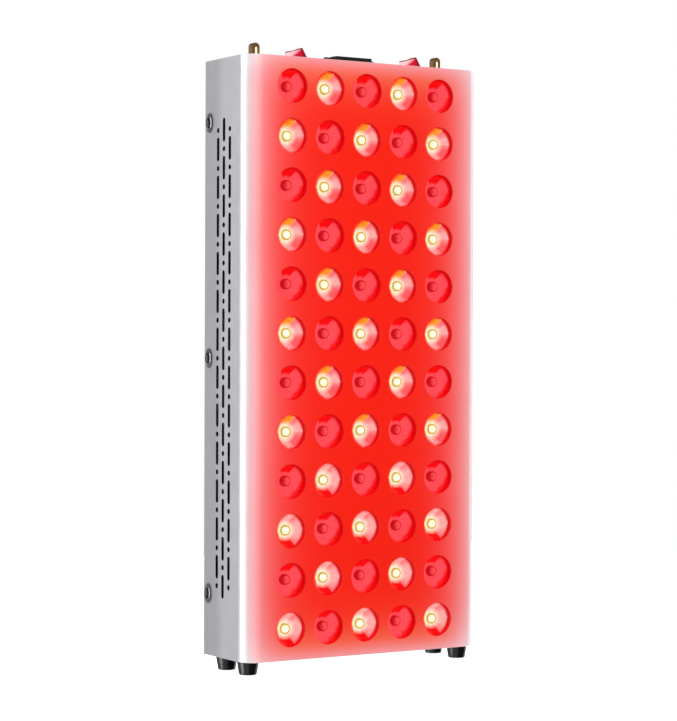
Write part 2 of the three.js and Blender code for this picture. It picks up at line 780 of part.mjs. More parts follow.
// Sheet metal
place('front_shell', frontShell(), whitePaint);
place('top_plate', topPlate(), whitePaint);
place('bottom_plate', bottomPlate(), whitePaint);
place('rear_cover', rearCover(), whitePaint);

// Lamps from front to back
const boardDepth = moduleFront + reflectorDepth + seatGap;
const heatSinkDepth = boardDepth + boardThickness + seatGap;
const moduleShape = reflectorModule();
for (let index = 0; index < moduleCount; index++) {
  const z = lampGridCentre + ((moduleCount - 1) / 2 - index) * rowsPerModule * lampPitchZ;
  place(`reflector_module_${index + 1}`, moduleShape, metallised, 0, moduleFront, z);
}
place('led_board', ledBoard(), boardMask, 0, boardDepth, shellHeight / 2);
place('heat_sink', heatSink(), bareAluminium, 0, heatSinkDepth, (shellHeight - heatSinkHeight) / 2);
const railDepth = heatSinkDepth + heatSinkBase + seatGap;
const railLow = (shellHeight - heatSinkHeight) / 2 + railMargin;
place('heat_sink_rail_left', rail(-1), zincSteel, 0, railDepth, railLow);
place('heat_sink_rail_right', rail(1), zincSteel, 0, railDepth, railLow);

// Fans, their screws and the drivers on the rear cover
const fanShape = fanFrame();
const rotorShape = fanRotor();
const fanScrewShape = domedScrew(fanScrewShank, fanScrewLength, fanScrewHeadDiameter, fanScrewHeadHeight);
fanScrewShape.rotateY(Math.PI / fanCorners.length);
const fanFront = rearPlateDepth - seatGap - fanThickness;
const rotorDepth = fanFront + fanThickness - fanStrutThickness - runningGap;
for (const [name, centre] of Object.entries(fanCentres)) {
  place(`fan_frame_${name}`, fanShape, blackPlastic, 0, fanFront, centre);
  place(`fan_rotor_${name}`, rotorShape, blackPlastic, 0, rotorDepth, centre);
  fanCorners.forEach(([x, z], index) => {
    const screw = `fan_screw_${name}_${index + 1}`;
    place(screw, fanScrewShape, zincSteel, x, shellDepth + seatGap, centre + z);
  });
}
const driverShape = driver();
place('led_driver_red', driverShape, bareAluminium, -driverOffset, rearPlateDepth - seatGap, shellHeight / 2);
place('led_driver_infrared', driverShape, bareAluminium, driverOffset, rearPlateDepth - seatGap, shellHeight / 2);

// Side screws
for (const [name, side] of [['left', -1], ['right', 1]]) {
  const screw = domedScrew(
    sideScrewShank, sideScrewLength, sideScrewDomeDiameter, sideScrewDomeHeight,
    sideScrewFlangeDiameter, sideScrewFlangeThickness,
  );
  screw.rotateZ(-side * Math.PI / 2);
  for (let index = 0; index < sideScrewsPerSide; index++) {
    const x = side * (shellWidth / 2 + seatGap);
    place(`side_screw_${name}_${index + 1}`, screw, darkChrome, x, sideScrewDepth, sideScrewZ(index));
  }
}

// Feet and their screws
const footShape = foot();
const footScrew = domedScrew(footScrewShank, footScrewLength, footScrewHeadDiameter, footScrewHeadHeight);
footScrew.rotateX(-Math.PI / 2);
for (const [sideName, x] of [['left', -footX], ['right', footX]]) {
  for (const [rowName, depth] of [['front', footFrontDepth], ['rear', footRearDepth]]) {
    place(`foot_${rowName}_${sideName}`, footShape, blackRubber, x, depth, -footHeight);
    const seat = footRecessDepth - seatGap - footHeight;
    place(`foot_screw_${rowName}_${sideName}`, footScrew, zincSteel, x, depth, seat);
  }
}

// Fittings on the top plate
const switchShape = switchBody();
const rockerShape = rocker();
const eyeShape = hangingEye();
const nutShape = eyeNut();
const inletScrew = domedScrew(inletScrewShank, inletScrewLength, inletScrewHead, inletScrewHeadHeight);
inletScrew.rotateX(Math.PI / 2);
for (const [name, side] of [['left', -1], ['right', 1]]) {
  place(`switch_body_${name}`, switchShape, blackPlastic, side * switchOffset, switchDepth, shellHeight);
  place(`rocker_${name}`, rockerShape, redPlastic, side * switchOffset, switchDepth, shellHeight - rockerPivotDrop);
  place(`hanging_eye_${name}`, eyeShape, brass, side * eyeOffset, eyeDepth, shellHeight);
  place(`hanging_nut_${name}`, nutShape, zincSteel, side * eyeOffset, eyeDepth, shellHeight);
  const screwSeat = shellHeight + 2 * seatGap + inletFlangeThickness;
  place(`inlet_screw_${name}`, inletScrew, zincSteel, side * inletScrewSpacing / 2, inletDepth, screwSeat);
}
place('inlet_socket', inletSocket(), blackPlastic, 0, inletDepth, shellHeight);
['line', 'neutral', 'earth'].forEach((name, index) => {
  const [x, y] = inletPinPlaces[index];
  place(`inlet_pin_${name}`, inletPin(), zincSteel, x, inletDepth + y, shellHeight);
});

export default panel;
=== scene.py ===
"""Red light therapy panel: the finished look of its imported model, laid out as an add-on."""
import math

import bmesh
import bpy
from bpy.props import FloatProperty, FloatVectorProperty, IntProperty, PointerProperty
from mathutils import Matrix, Quaternion, Vector


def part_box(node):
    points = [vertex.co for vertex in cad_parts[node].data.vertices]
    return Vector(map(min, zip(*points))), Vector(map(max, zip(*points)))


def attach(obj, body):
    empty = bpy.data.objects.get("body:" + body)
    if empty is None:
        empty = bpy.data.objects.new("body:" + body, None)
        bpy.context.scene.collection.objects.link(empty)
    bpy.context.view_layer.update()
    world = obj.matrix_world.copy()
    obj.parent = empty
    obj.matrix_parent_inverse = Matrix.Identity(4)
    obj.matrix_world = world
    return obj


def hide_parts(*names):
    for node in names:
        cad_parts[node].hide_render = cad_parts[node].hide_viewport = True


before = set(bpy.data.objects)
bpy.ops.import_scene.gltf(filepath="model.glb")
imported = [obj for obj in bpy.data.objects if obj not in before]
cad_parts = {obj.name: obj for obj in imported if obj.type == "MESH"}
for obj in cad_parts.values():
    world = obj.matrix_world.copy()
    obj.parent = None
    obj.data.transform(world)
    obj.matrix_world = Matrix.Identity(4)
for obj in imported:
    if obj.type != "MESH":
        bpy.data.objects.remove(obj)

bl_info = {
    "name": "Light panel pieces",
    "version": (1, 0, 0),
    "blender": (4, 5, 0),
    "location": "3D View > Sidebar > Light panel",
    "description": "Makes the pieces of a red light therapy panel around its packed model",
    "category": "Object",
}

MM = 0.001
TURN = 2 * math.pi
QUARTER = TURN / 4
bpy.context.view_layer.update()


def mm(*sizes):
    """Sizes in millimetres, as the scene's metres."""
    return [size * MM for size in sizes]


def middle(node_name):
    """Middle of a CAD node's box."""
    low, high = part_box(node_name)
    return (low + high) / 2


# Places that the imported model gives
SHELL_LOW, SHELL_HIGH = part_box("front_shell")
FRONT, REAR = SHELL_LOW.y, SHELL_HIGH.y
BASE, TOP = SHELL_LOW.z, SHELL_HIGH.z
HALF = SHELL_HIGH.x
HEIGHT = TOP - BASE
COVER_LOW, COVER_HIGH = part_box("rear_cover")
BOARD_LOW, BOARD_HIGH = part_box("led_board")
MODULES = ["reflector_module_%d" % (index + 1) for index in range(6)]
FANS = ("lower", "upper")
SIDES = ("left", "right")
FEET = [(row, side) for row in ("front", "rear") for side in SIDES]

# The lamp grid: the modules touch but for one gap, so their centres give the pitch
LAMP_COLUMNS = 5
ROWS_PER_MODULE = 2
LAMP_ROWS = ROWS_PER_MODULE * len(MODULES)
LAMP_PITCH_Z = (middle(MODULES[0]).z - middle(MODULES[-1]).z) / (LAMP_ROWS - ROWS_PER_MODULE)
MODULE_LOW, MODULE_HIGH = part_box(MODULES[0])
MODULE_GAP = ROWS_PER_MODULE * LAMP_PITCH_Z - (MODULE_HIGH.z - MODULE_LOW.z)
LAMP_PITCH_X = (MODULE_HIGH.x - MODULE_LOW.x + MODULE_GAP) / LAMP_COLUMNS
LAMP_TOP = middle(MODULES[0]).z + LAMP_PITCH_Z / 2
LAMPS = [(row, column) for row in range(LAMP_ROWS) for column in range(LAMP_COLUMNS)]

# Numbers of facets round small, middling and large circles
FEW, SOME, MANY = 20, 36, 56
SHARP_ANGLE = math.radians(32)
RIM_ANGLE = math.radians(50)
ALONG_X, ALONG_Y = (1, 0, 0), (0, 1, 0)
OVERRUN = 1.0 * MM


def lamp_place(row, column):
    """Middle of a lamp on the front face; row 0 is at the top."""
    return Vector(((column - (LAMP_COLUMNS - 1) / 2) * LAMP_PITCH_X, FRONT, LAMP_TOP - row * LAMP_PITCH_Z))


def nearest_lamp(point):
    """Place of the lamp that a point belongs to."""
    row = round((LAMP_TOP - point.z) / LAMP_PITCH_Z)
    column = round(point.x / LAMP_PITCH_X + (LAMP_COLUMNS - 1) / 2)
    return lamp_place(row, column)


def is_lit(row, column):
    """Every second lamp glows, and the first one of the top row doesn't."""
    return (row + column) % 2 == 1


def length_setting(name, description, size):
    """Property for a length, given in millimetres."""
    return FloatProperty(name=name, description=description, default=size * MM, unit="LENGTH")


def angle_setting(name, description, degrees):
    """Property for an angle."""
    return FloatProperty(name=name, description=description, default=math.radians(degrees), subtype="ANGLE",
                         unit="ROTATION")


def colour_setting(name, description, value):
    """Property for a colour."""
    return FloatVectorProperty(name=name, description=description, default=value, size=3, subtype="COLOR",
                               min=0, max=1)


class ShellSettings(bpy.types.PropertyGroup):
    """Sizes and colours of the sheet metal."""
    sheet: length_setting("Sheet", "Thickness of the sheet steel", 1.2)
    corner: length_setting("Corner", "Radius of the two front corners", 14)
    hole: length_setting("Lamp hole", "Radius of a lamp's opening", 13.88)
    flare: length_setting("Rim flare", "Rounding of the rims", 0.35)
    flange: length_setting("Flange", "Depth of the plates' flanges", 12)
    vent_pitch: length_setting("Vent pitch", "Room between vent columns", 9.7)
    vent_depth: length_setting("Vent depth", "Middle column, from the front", 39.22)
    vent_margin: length_setting("Vent margin", "From the shell's ends to the outer vents", 57.7)
    vent_slot: length_setting("Vent slot", "Width of a slot", 4.1)
    vent_dot: length_setting("Vent dot", "Width of a dot", 4.2)
    slot_share: FloatProperty(name="Slot share", description="Length of a slot over the step", default=1.25)
    vent_steps: IntProperty(name="Vent steps", description="Openings in each column", default=25)
    vent_columns: IntProperty(name="Vent columns", description="Columns in each side", default=3)
    paint: colour_setting("Paint", "White powder coat", (0.75, 0.745, 0.782))
    glow: colour_setting("Glow", "Front face under the red light", (0.79, 0.0120, 0.0035))
    # Painted shade: the inside of the sheets is near black
    inside: colour_setting("Inside", "Painted shade inside", (0.0015, 0.0015, 0.0016))


class LampSettings(bpy.types.PropertyGroup):
    """Sizes and colours of the reflector cups and emitters."""
    well: length_setting("Well", "Radius of the round well", 14.5)
    well_depth: length_setting("Well depth", "Depth of the well's ledge", 6.2)
    mouth: length_setting("Mouth", "Corner radius of the cup's mouth", 13.4)
    foot: length_setting("Foot", "Corner radius of the cup's foot", 5.6)
    body: length_setting("Emitter", "Radius of an emitter", 4.4)
    lens: length_setting("Lens", "Radius of an emitter's lens", 2.4)
    lens_rise: length_setting("Lens rise", "Height of the lens", 2.2)
    seat: length_setting("Seat", "Radius of the ring round an emitter", 7.2)
    board: length_setting("Board thickness", "Thickness of the LED board", 1.6)
    plastic: colour_setting("Cup", "Metallised plastic of the cups", (0.10, 0.002, 0.002))
    dull: colour_setting("Dull emitter", "Resin of an emitter that is off", (0.08, 0.002, 0.003))
    live: colour_setting("Lit emitter", "Resin of an emitter that is on", (0.12, 0.08, 0.03))
    mask: colour_setting("Board", "Solder mask of the board", (0.72, 0.70, 0.66))


class FittingSettings(bpy.types.PropertyGroup):
    """Sizes and colours of the fittings on the shell."""
    soft_edge: length_setting("Soft edge", "Rounding of moulded edges", 0.5)
    rubber: colour_setting("Rubber", "Feet", (0.0035, 0.0035, 0.0035))
    plastic: colour_setting("Plastic", "Black mouldings", (0.012, 0.011, 0.011))
    rocker: colour_setting("Rocker", "Clear red rockers", (0.20, 0.004, 0.010))
    brass: colour_setting("Brass", "Hanging eyes", (0.34, 0.19, 0.075))
    # Painted highlight on the walls of the eyes' slots
    slot_highlight: colour_setting("Brass slot highlight", "Walls of the eyes' slots", (0.9, 0.84, 0.70))
    chrome: colour_setting("Dark chrome", "Screws of the sides", (0.20, 0.20, 0.22))
    cap: colour_setting("Black cap", "Heads of the screws at the sides and the inlet", (0.006, 0.006, 0.007))
    zinc: colour_setting("Zinc", "Plated steel", (0.56, 0.57, 0.58))
    aluminium: colour_setting("Aluminium", "Heat sink and cases", (0.5, 0.51, 0.53))


class StageSettings(bpy.types.PropertyGroup):
    """Camera, lights and floor."""
    azimuth: angle_setting("Azimuth", "Camera's side angle", -31.775)
    elevation: angle_setting("Elevation", "Camera's height angle", 0.398)
    roll: angle_setting("Roll", "Camera's tilt", 0.216)
    distance: length_setting("Distance", "Camera to its target", 1898.145)
    target: FloatVectorProperty(name="Target", description="From the middle of the shell's front foot edge",
                                default=mm(-5.196, 35.35, 239.709), size=3, subtype="TRANSLATION")
    lens: FloatProperty(name="Lens", description="Focal length on a 36 mm high sensor", default=114.575)
    floor: colour_setting("Floor", "Pale floor", (0.9, 0.9, 0.9))
    floor_reach: length_setting("Floor reach", "Half the floor's width", 900)


# Materials

def node(tree, kind, inputs=None, **settings):
    """Adds a shader node; an input takes a socket or a value."""
    made = tree.nodes.new(kind)
    for name, value in settings.items():
        setattr(made, name, value)
    for key, value in (inputs or {}).items():
        if isinstance(value, bpy.types.NodeSocket):
            tree.links.new(value, made.inputs[key])
        else:
            made.inputs[key].default_value = value
    return made


def maths(tree, operation, first, second=0.0, third=0.0, clamp=False):
    """Result of a Math node on sockets or numbers."""
    values = {0: first, 1: second, 2: third}
    return node(tree, "ShaderNodeMath", values, operation=operation, use_clamp=clamp).outputs[0]


def ramp(tree, source, low, high, first=0.0, last=1.0, **settings):
    """Maps what lies between two values of a source to another range."""
    values = {"Value": source, "From Min": low, "From Max": high, "To Min": first, "To Max": last}
    return node(tree, "ShaderNodeMapRange", values, **settings).outputs[0]


def blend_colour(tree, share, first, second):
    """Mixes two colours, each a socket or three numbers."""
    made = tree.nodes.new("ShaderNodeMix")
    made.data_type = "RGBA"
    for socket, value in ((made.inputs[0], share), (made.inputs[6], first), (made.inputs[7], second)):
        if isinstance(value, bpy.types.NodeSocket):
            tree.links.new(value, socket)
        elif isinstance(value, float):
            socket.default_value = value
        else:
            socket.default_value = (*value, 1.0)
    return made.outputs[2]


def object_place(tree):
    """Object coordinates."""
    return node(tree, "ShaderNodeTexCoord").outputs["Object"]


def noise(tree, scale, detail=3.0, stretch=(1.0, 1.0, 1.0), seed=0.0):
    """Noise on Object coordinates, pulled out along an axis where its stretch is small."""
    place = {"Vector": object_place(tree), "Scale": stretch, "Location": (seed, seed, seed)}
    turned_place = node(tree, "ShaderNodeMapping", place).outputs[0]
    made = node(tree, "ShaderNodeTexNoise", {"Vector": turned_place, "Scale": scale, "Detail": detail})
    return made.outputs["Fac"]


def spread(tree, source, low, high):
    """Maps the middle of a noise to a range."""
    return ramp(tree, source, 0.3, 0.7, low, high)


def shader_of(material):
    """The surface shader of a material."""
    return material.node_tree.nodes["Principled BSDF"]


def glowing(shader, colour_or_socket, strength):
    """Sets what a surface shows of the light in it."""
    socket = shader.inputs["Emission Color"]
    if isinstance(colour_or_socket, bpy.types.NodeSocket):
        shader.id_data.links.new(colour_or_socket, socket)
    else:
        socket.default_value = (*colour_or_socket, 1.0)
    shader.inputs["Emission Strength"].default_value = strength


# Fine grain and broad patches: the patches are this many times as wide as the grain
PATCH_WIDTH = 18
FINE_DETAIL, BROAD_DETAIL, PATCH_SEED = 4.0, 2.0, 3.7
GLOSSIEST = 0.03


def finish(name, base, roughness, metallic=0.0, grain=900.0, mottle=0.05, wear=0.05, bump=0.02,
           stretch=(1, 1, 1), shine=0.5):
    """Material whose colour, roughness and surface vary with fine grain and broad patches."""
    material = bpy.data.materials.new(name)
    material.use_nodes = True
    tree = material.node_tree
    shader = shader_of(material)
    fine = noise(tree, grain, FINE_DETAIL, stretch)
    broad = noise(tree, grain / PATCH_WIDTH, BROAD_DETAIL, stretch, PATCH_SEED)
    share = ramp(tree, maths(tree, "MULTIPLY_ADD", fine, 0.5, broad), 0.3, 1.2)
    dark = [channel * (1 - mottle) for channel in base]
    light = [min(1.0, channel * (1 + mottle)) for channel in base]
    tree.links.new(blend_colour(tree, share, dark, light), shader.inputs["Base Color"])
    rough = spread(tree, broad, max(GLOSSIEST, roughness - wear), roughness + wear)
    tree.links.new(rough, shader.inputs["Roughness"])
    relief = node(tree, "ShaderNodeBump", {"Height": fine, "Strength": 0.5, "Distance": bump * MM})
    tree.links.new(relief.outputs[0], shader.inputs["Normal"])
    shader.inputs["Metallic"].default_value = metallic
    shader.inputs["Specular IOR Level"].default_value = shine
    return material


# Painted light: how the red light painted on the front fades towards its sides, its ends and round its
# corners
SIDE_SHARE, SIDE_FADE, RIGHT_MORE = 0.85, 12.8 * MM, 0.19
END_SHARE, END_FADE, CORNER_MORE = 0.37, 13.0 * MM, 0.35
DEPTH_FADE = 0.040 / MM
# Away from the ends and the sides, the painted red light fades to a warmer white than the coat
WARM_WHITE = (0.76, 0.63, 0.36)
WARM_END, WARM_SIDE = mm(3, 13), mm(12, 36)
# The outermost edge of both ends stays white, from here to there off them
EDGE_WHITE = mm(0.25, 0.05)
GLOW_LIGHT = (0.02, 0.0, 0.0)
# Painted shade: the coat darkens from the first depth to the second, down to the last share
SHADE_FROM, SHADE_TO, REAR_SHADE = 36 * MM, 54 * MM, 0.79
PATCH_SCALE, PATCH_LEAST, PATCH_MOST = 14.0, 0.93, 1.07


def painted_steel(settings):
    """White powder coat with painted light: the red light of the lamps is painted on the front face and fades
    to its edges, and painted shade darkens the sides towards the rear.
    """
    material = finish("powder_coat", settings.paint, 0.36, 0.25, grain=1400.0, mottle=0.012, wear=0.03,
                      bump=0.006, shine=0.25)
    tree = material.node_tree
    shader = shader_of(material)
    paint = shader.inputs["Base Color"].links[0].from_socket
    across, back, up = node(tree, "ShaderNodeSeparateXYZ", {0: object_place(tree)}).outputs
    from_side = maths(tree, "SUBTRACT", HALF, maths(tree, "ABSOLUTE", across))
    from_end = maths(tree, "MINIMUM", maths(tree, "SUBTRACT", TOP, up), maths(tree, "SUBTRACT", up, BASE))
    depth = maths(tree, "SUBTRACT", back, FRONT)
    side_fade = maths(tree, "EXPONENT", maths(tree, "MULTIPLY", from_side, -1 / SIDE_FADE))
    end_fade = maths(tree, "EXPONENT", maths(tree, "MULTIPLY", from_end, -1 / END_FADE))
    lean = maths(tree, "MULTIPLY_ADD", across, RIGHT_MORE / HALF, SIDE_SHARE)
    sides = maths(tree, "MULTIPLY_ADD", side_fade, lean, maths(tree, "MULTIPLY", depth, DEPTH_FADE))
    corners = maths(tree, "MULTIPLY", maths(tree, "MULTIPLY", side_fade, end_fade), CORNER_MORE)
    uneven = spread(tree, noise(tree, PATCH_SCALE, BROAD_DETAIL), PATCH_LEAST, PATCH_MOST)
    white = maths(tree, "MULTIPLY", maths(tree, "ADD", sides, corners), uneven, clamp=True)
    white = maths(tree, "MAXIMUM", white, ramp(tree, from_end, *EDGE_WHITE))
    ends = maths(tree, "MULTIPLY", maths(tree, "MULTIPLY", end_fade, END_SHARE), uneven)
    warmth = maths(tree, "MULTIPLY", ramp(tree, from_end, *WARM_END), ramp(tree, from_side, *WARM_SIDE))
    red = blend_colour(tree, ends, settings.glow, blend_colour(tree, warmth, settings.paint, WARM_WHITE))
    rear = ramp(tree, depth, SHADE_FROM, SHADE_TO, 1.0, REAR_SHADE, interpolation_type="SMOOTHSTEP")
    shaded = node(tree, "ShaderNodeVectorMath", {0: paint, "Scale": rear}, operation="SCALE").outputs[0]
    tree.links.new(blend_colour(tree, white, red, shaded), shader.inputs["Base Color"])
    glowing(shader, blend_colour(tree, white, GLOW_LIGHT, (0.0, 0.0, 0.0)), 1.0)
    return material


PAINTED_LIGHT = "painted_light"


def painted_glow(name, base, roughness):
    """Material that glows with the painted light of the piece's own colour attribute, a little uneven as
    moulded plastic is.
    """
    material = finish(name, base, roughness, grain=700.0, mottle=0.15, wear=0.06, bump=0.01, shine=0.15)
    tree = material.node_tree
    painted_light = node(tree, "ShaderNodeAttribute", attribute_name=PAINTED_LIGHT).outputs["Color"]
    patches = spread(tree, noise(tree, 420.0, BROAD_DETAIL, seed=1.3), 0.86, 1.12)
    made = node(tree, "ShaderNodeVectorMath", {0: painted_light, "Scale": patches}, operation="SCALE")
    glowing(shader_of(material), made.outputs[0], 1.0)
    return material


# Finishes that several operators use, made by the one that needs them first
MADE = {}


def once(make):
    """Keeps what a function makes for whoever asks for it later."""
    def shared(context):
        if make not in MADE:
            MADE[make] = make(context)
        return MADE[make]
    return shared


@once
def coat(context):
    return painted_steel(context.scene.panel_shell)


# Painted shade: near black on the inside of the front shell and on the walls of its vents and screw holes,
# where little light gets in
@once
def inside_shade(context):
    return finish("painted_inside_shade", context.scene.panel_shell.inside, 0.9, grain=600.0, mottle=0.3, shine=0.04)


@once
def black_plastic(context):
    base = context.scene.panel_fittings.plastic
    return finish("black_plastic", base, 0.45, grain=2200.0, mottle=0.25, shine=0.25)


@once
def zinc(context):
    base = context.scene.panel_fittings.zinc
    return finish("zinc_steel", base, 0.32, 1.0, grain=1500.0, mottle=0.12, wear=0.1)


# Modelling helpers

def moved(bm, offset, verts=None):
    """Shifts some or all vertices."""
    bmesh.ops.translate(bm, vec=offset, verts=bm.verts if verts is None else verts)
    return bm


def spun(bm, turn, axis):
    """Turns all of a bmesh about an axis through the origin."""
    bmesh.ops.rotate(bm, cent=(0, 0, 0), matrix=Matrix.Rotation(turn, 3, axis), verts=bm.verts)
    return bm


def new_verts(result):
    """Vertices that an operator made."""
    return [item for item in result["geom"] if isinstance(item, bmesh.types.BMVert)]


def raised(points, offset):
    """Closed solid from one outline, drawn out along an offset."""
    bm = bmesh.new()
    face = bm.faces.new([bm.verts.new(point) for point in points])
    result = bmesh.ops.extrude_face_region(bm, geom=[face])
    moved(bm, offset, new_verts(result))
    bmesh.ops.recalc_face_normals(bm, faces=bm.faces)
    return bm


def box(low, high):
    """Block between two corners."""
    low, high = Vector(low), Vector(high)
    bm = bmesh.new()
    bmesh.ops.create_cube(bm, size=1.0)
    bmesh.ops.scale(bm, vec=high - low, verts=bm.verts)
    return moved(bm, (low + high) / 2)


def box_about(place, half_x, half_y, low, high):
    """Block about a place in plan, between two heights."""
    return box((place.x - half_x, place.y - half_y, low), (place.x + half_x, place.y + half_y, high))


def rounded(bm, edges, offset, segments=3):
    """Bevels edges to a round."""
    bmesh.ops.bevel(bm, geom=edges, offset=offset, offset_type="OFFSET", segments=segments, profile=0.5,
                    affect="EDGES", material=-1, clamp_overlap=True)
    return bm


def edges_along(bm, axis, test=None):
    """Edges that run along an axis and pass a test on their middle."""
    found = []
    for edge in bm.edges:
        first, second = edge.verts[0].co, edge.verts[1].co
        run = (second - first).normalized()
        if abs(run[axis]) > 0.999 and (test is None or test((first + second) / 2)):
            found.append(edge)
    return found


def sharp_edges(bm, limit=RIM_ANGLE, test=None):
    """Edges where two faces meet at more than an angle."""
    return [edge for edge in bm.edges if len(edge.link_faces) == 2 and edge.calc_face_angle(0.0) > limit
            and (test is None or test((edge.verts[0].co + edge.verts[1].co) / 2))]


def turned(profile, steps, axis=(0, 0, 1)):
    """Full turn of a profile of (radius, height) pairs about an axis through the origin."""
    axis = Vector(axis)
    out = Vector((1, 0, 0)) if abs(axis.x) < 0.5 else Vector((0, 0, 1))
    bm = bmesh.new()
    verts = [bm.verts.new(out * radius + axis * height) for radius, height in profile]
    edges = [bm.edges.new(pair) for pair in zip(verts, verts[1:])]
    bmesh.ops.spin(bm, geom=verts + edges, cent=(0, 0, 0), axis=axis, dvec=(0, 0, 0), angle=TURN, steps=steps,
                   use_merge=True, use_duplicate=False)
    bmesh.ops.remove_doubles(bm, verts=bm.verts, dist=0.002 * MM)
    bmesh.ops.recalc_face_normals(bm, faces=bm.faces)
    return bm


def bore(place, radius, low, high, axis=(0, 0, 1)):
    """Round cutter between two levels of an axis, through a place."""
    hole = turned([(0, low), (radius, low), (radius, high), (0, high)], FEW, axis)
    return moved(hole, [value * (1 - along_axis) for value, along_axis in zip(place, axis)])


def joined(*parts):
    """One bmesh from several."""
    whole = parts[0]
    for part in parts[1:]:
        mesh = bpy.data.meshes.new("part")
        part.to_mesh(mesh)
        part.free()
        whole.from_mesh(mesh)
        bpy.data.meshes.remove(mesh)
    return whole


def copies(part, matrices):
    """One bmesh that holds a part at several places."""
    mesh = bpy.data.meshes.new("part")
    part.to_mesh(mesh)
    part.free()
    whole = bmesh.new()
    for matrix in matrices:
        one = mesh.copy()
        one.transform(matrix)
        whole.from_mesh(one)
        bpy.data.meshes.remove(one)
    bpy.data.meshes.remove(mesh)
    return whole


def linked(name, mesh):
    """Object for a mesh, at the origin."""
    piece = bpy.data.objects.new(name, mesh)
    bpy.context.scene.collection.objects.link(piece)
    return piece


def as_object(name, bm):
    """Links a bmesh as an object at the origin."""
    mesh = bpy.data.meshes.new(name)
    bm.to_mesh(mesh)
    bm.free()
    return linked(name, mesh)


def with_parts(piece, *parts):
    """Adds further parts to a piece's mesh."""
    whole = bmesh.new()
    whole.from_mesh(piece.data)
    joined(whole, *parts)
    whole.to_mesh(piece.data)
    whole.free()


def keep_result(piece):
    """Makes what the modifiers give the piece's own mesh."""
    bpy.context.view_layer.update()
    deps = bpy.context.evaluated_depsgraph_get()
    mesh = bpy.data.meshes.new_from_object(piece.evaluated_get(deps))
    old = piece.data
    piece.modifiers.clear()
    piece.data = mesh
    bpy.data.meshes.remove(old)


def softened(piece, width, segments=2):
    """Rounds a piece's sharp edges."""
    edge = piece.modifiers.new("Soft edge", "BEVEL")
    edge.width = width
    edge.segments = segments
    edge.limit_method = "ANGLE"
    edge.angle_limit = RIM_ANGLE
    keep_result(piece)


def walled(piece, thickness, inner=0):
    """Gives sheet its thickness inwards."""
    wall = piece.modifiers.new("Sheet", "SOLIDIFY")
    wall.thickness = thickness
    wall.offset = -1
    wall.use_even_offset = True
    wall.material_offset = inner
    keep_result(piece)


def cut(piece, cutter_bm, overlapping=False):
    """Cuts a closed shape out of a piece, which may be made of solids that run into each other."""
    cutter = as_object("cutter", cutter_bm)
    knife = piece.modifiers.new("Cut", "BOOLEAN")
    knife.operation = "DIFFERENCE"
    knife.solver = "EXACT"
    knife.use_self = overlapping
    knife.material_mode = "INDEX"
    knife.object = cutter
    keep_result(piece)
    mesh = cutter.data
    bpy.data.objects.remove(cutter)
    bpy.data.meshes.remove(mesh)


def complete(piece, materials, nodes, body="housing"):
    """Shades a piece, gives it its materials and ties it to the model."""
    mesh = piece.data
    if not mesh.polygons:
        raise RuntimeError("%s has no faces" % piece.name)
    indices = [polygon.material_index for polygon in mesh.polygons]
    mesh.materials.clear()
    for material in materials:
        mesh.materials.append(material)
    mesh.polygons.foreach_set("material_index", indices)
    mesh.shade_smooth()
    mesh.set_sharp_from_angle(angle=SHARP_ANGLE)
    even = piece.modifiers.new("Even shading", "WEIGHTED_NORMAL")
    even.keep_sharp = True
    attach(piece, body)
    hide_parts(*nodes)
    return piece


def paint_faces(bm, index):
    """Gives every face of a bmesh one material index."""
    for face in bm.faces:
        face.material_index = index
    return bm


# Rounding of the sheets' rims, and how far cutters reach in from them
SHELL_RIM, PLATE_RIM = mm(0.25, 0.2)
PLATE_REACH, COVER_REACH = mm(5, 3)
# Rounding of a slot's ends, just under half its width so that no edge vanishes
SLOT_END = 0.49
# Radii of the holes under the screws and the hanging eyes
SIDE_SCREW_HOLE, FOOT_SCREW_HOLE, SMALL_SCREW_HOLE, EYE_HOLE = mm(2.3, 2.1, 1.8, 2.8)
# Half sizes of the openings in the top plate
SWITCH_OPENING, INLET_OPENING = mm(10, 5.3), mm(14, 10)
# The grilles: rings of slots round a hole, parted by spokes
GRILLE_RADII = mm(11, 19.75, 28.5)
GRILLE_SLOT, SPOKE, GRILLE_HOLE = mm(5, 5, 2)


def sheet_finishes(context):
    """Coat outside, and painted shade inside: near black, where little light gets in."""
    return [coat(context), inside_shade(context)]


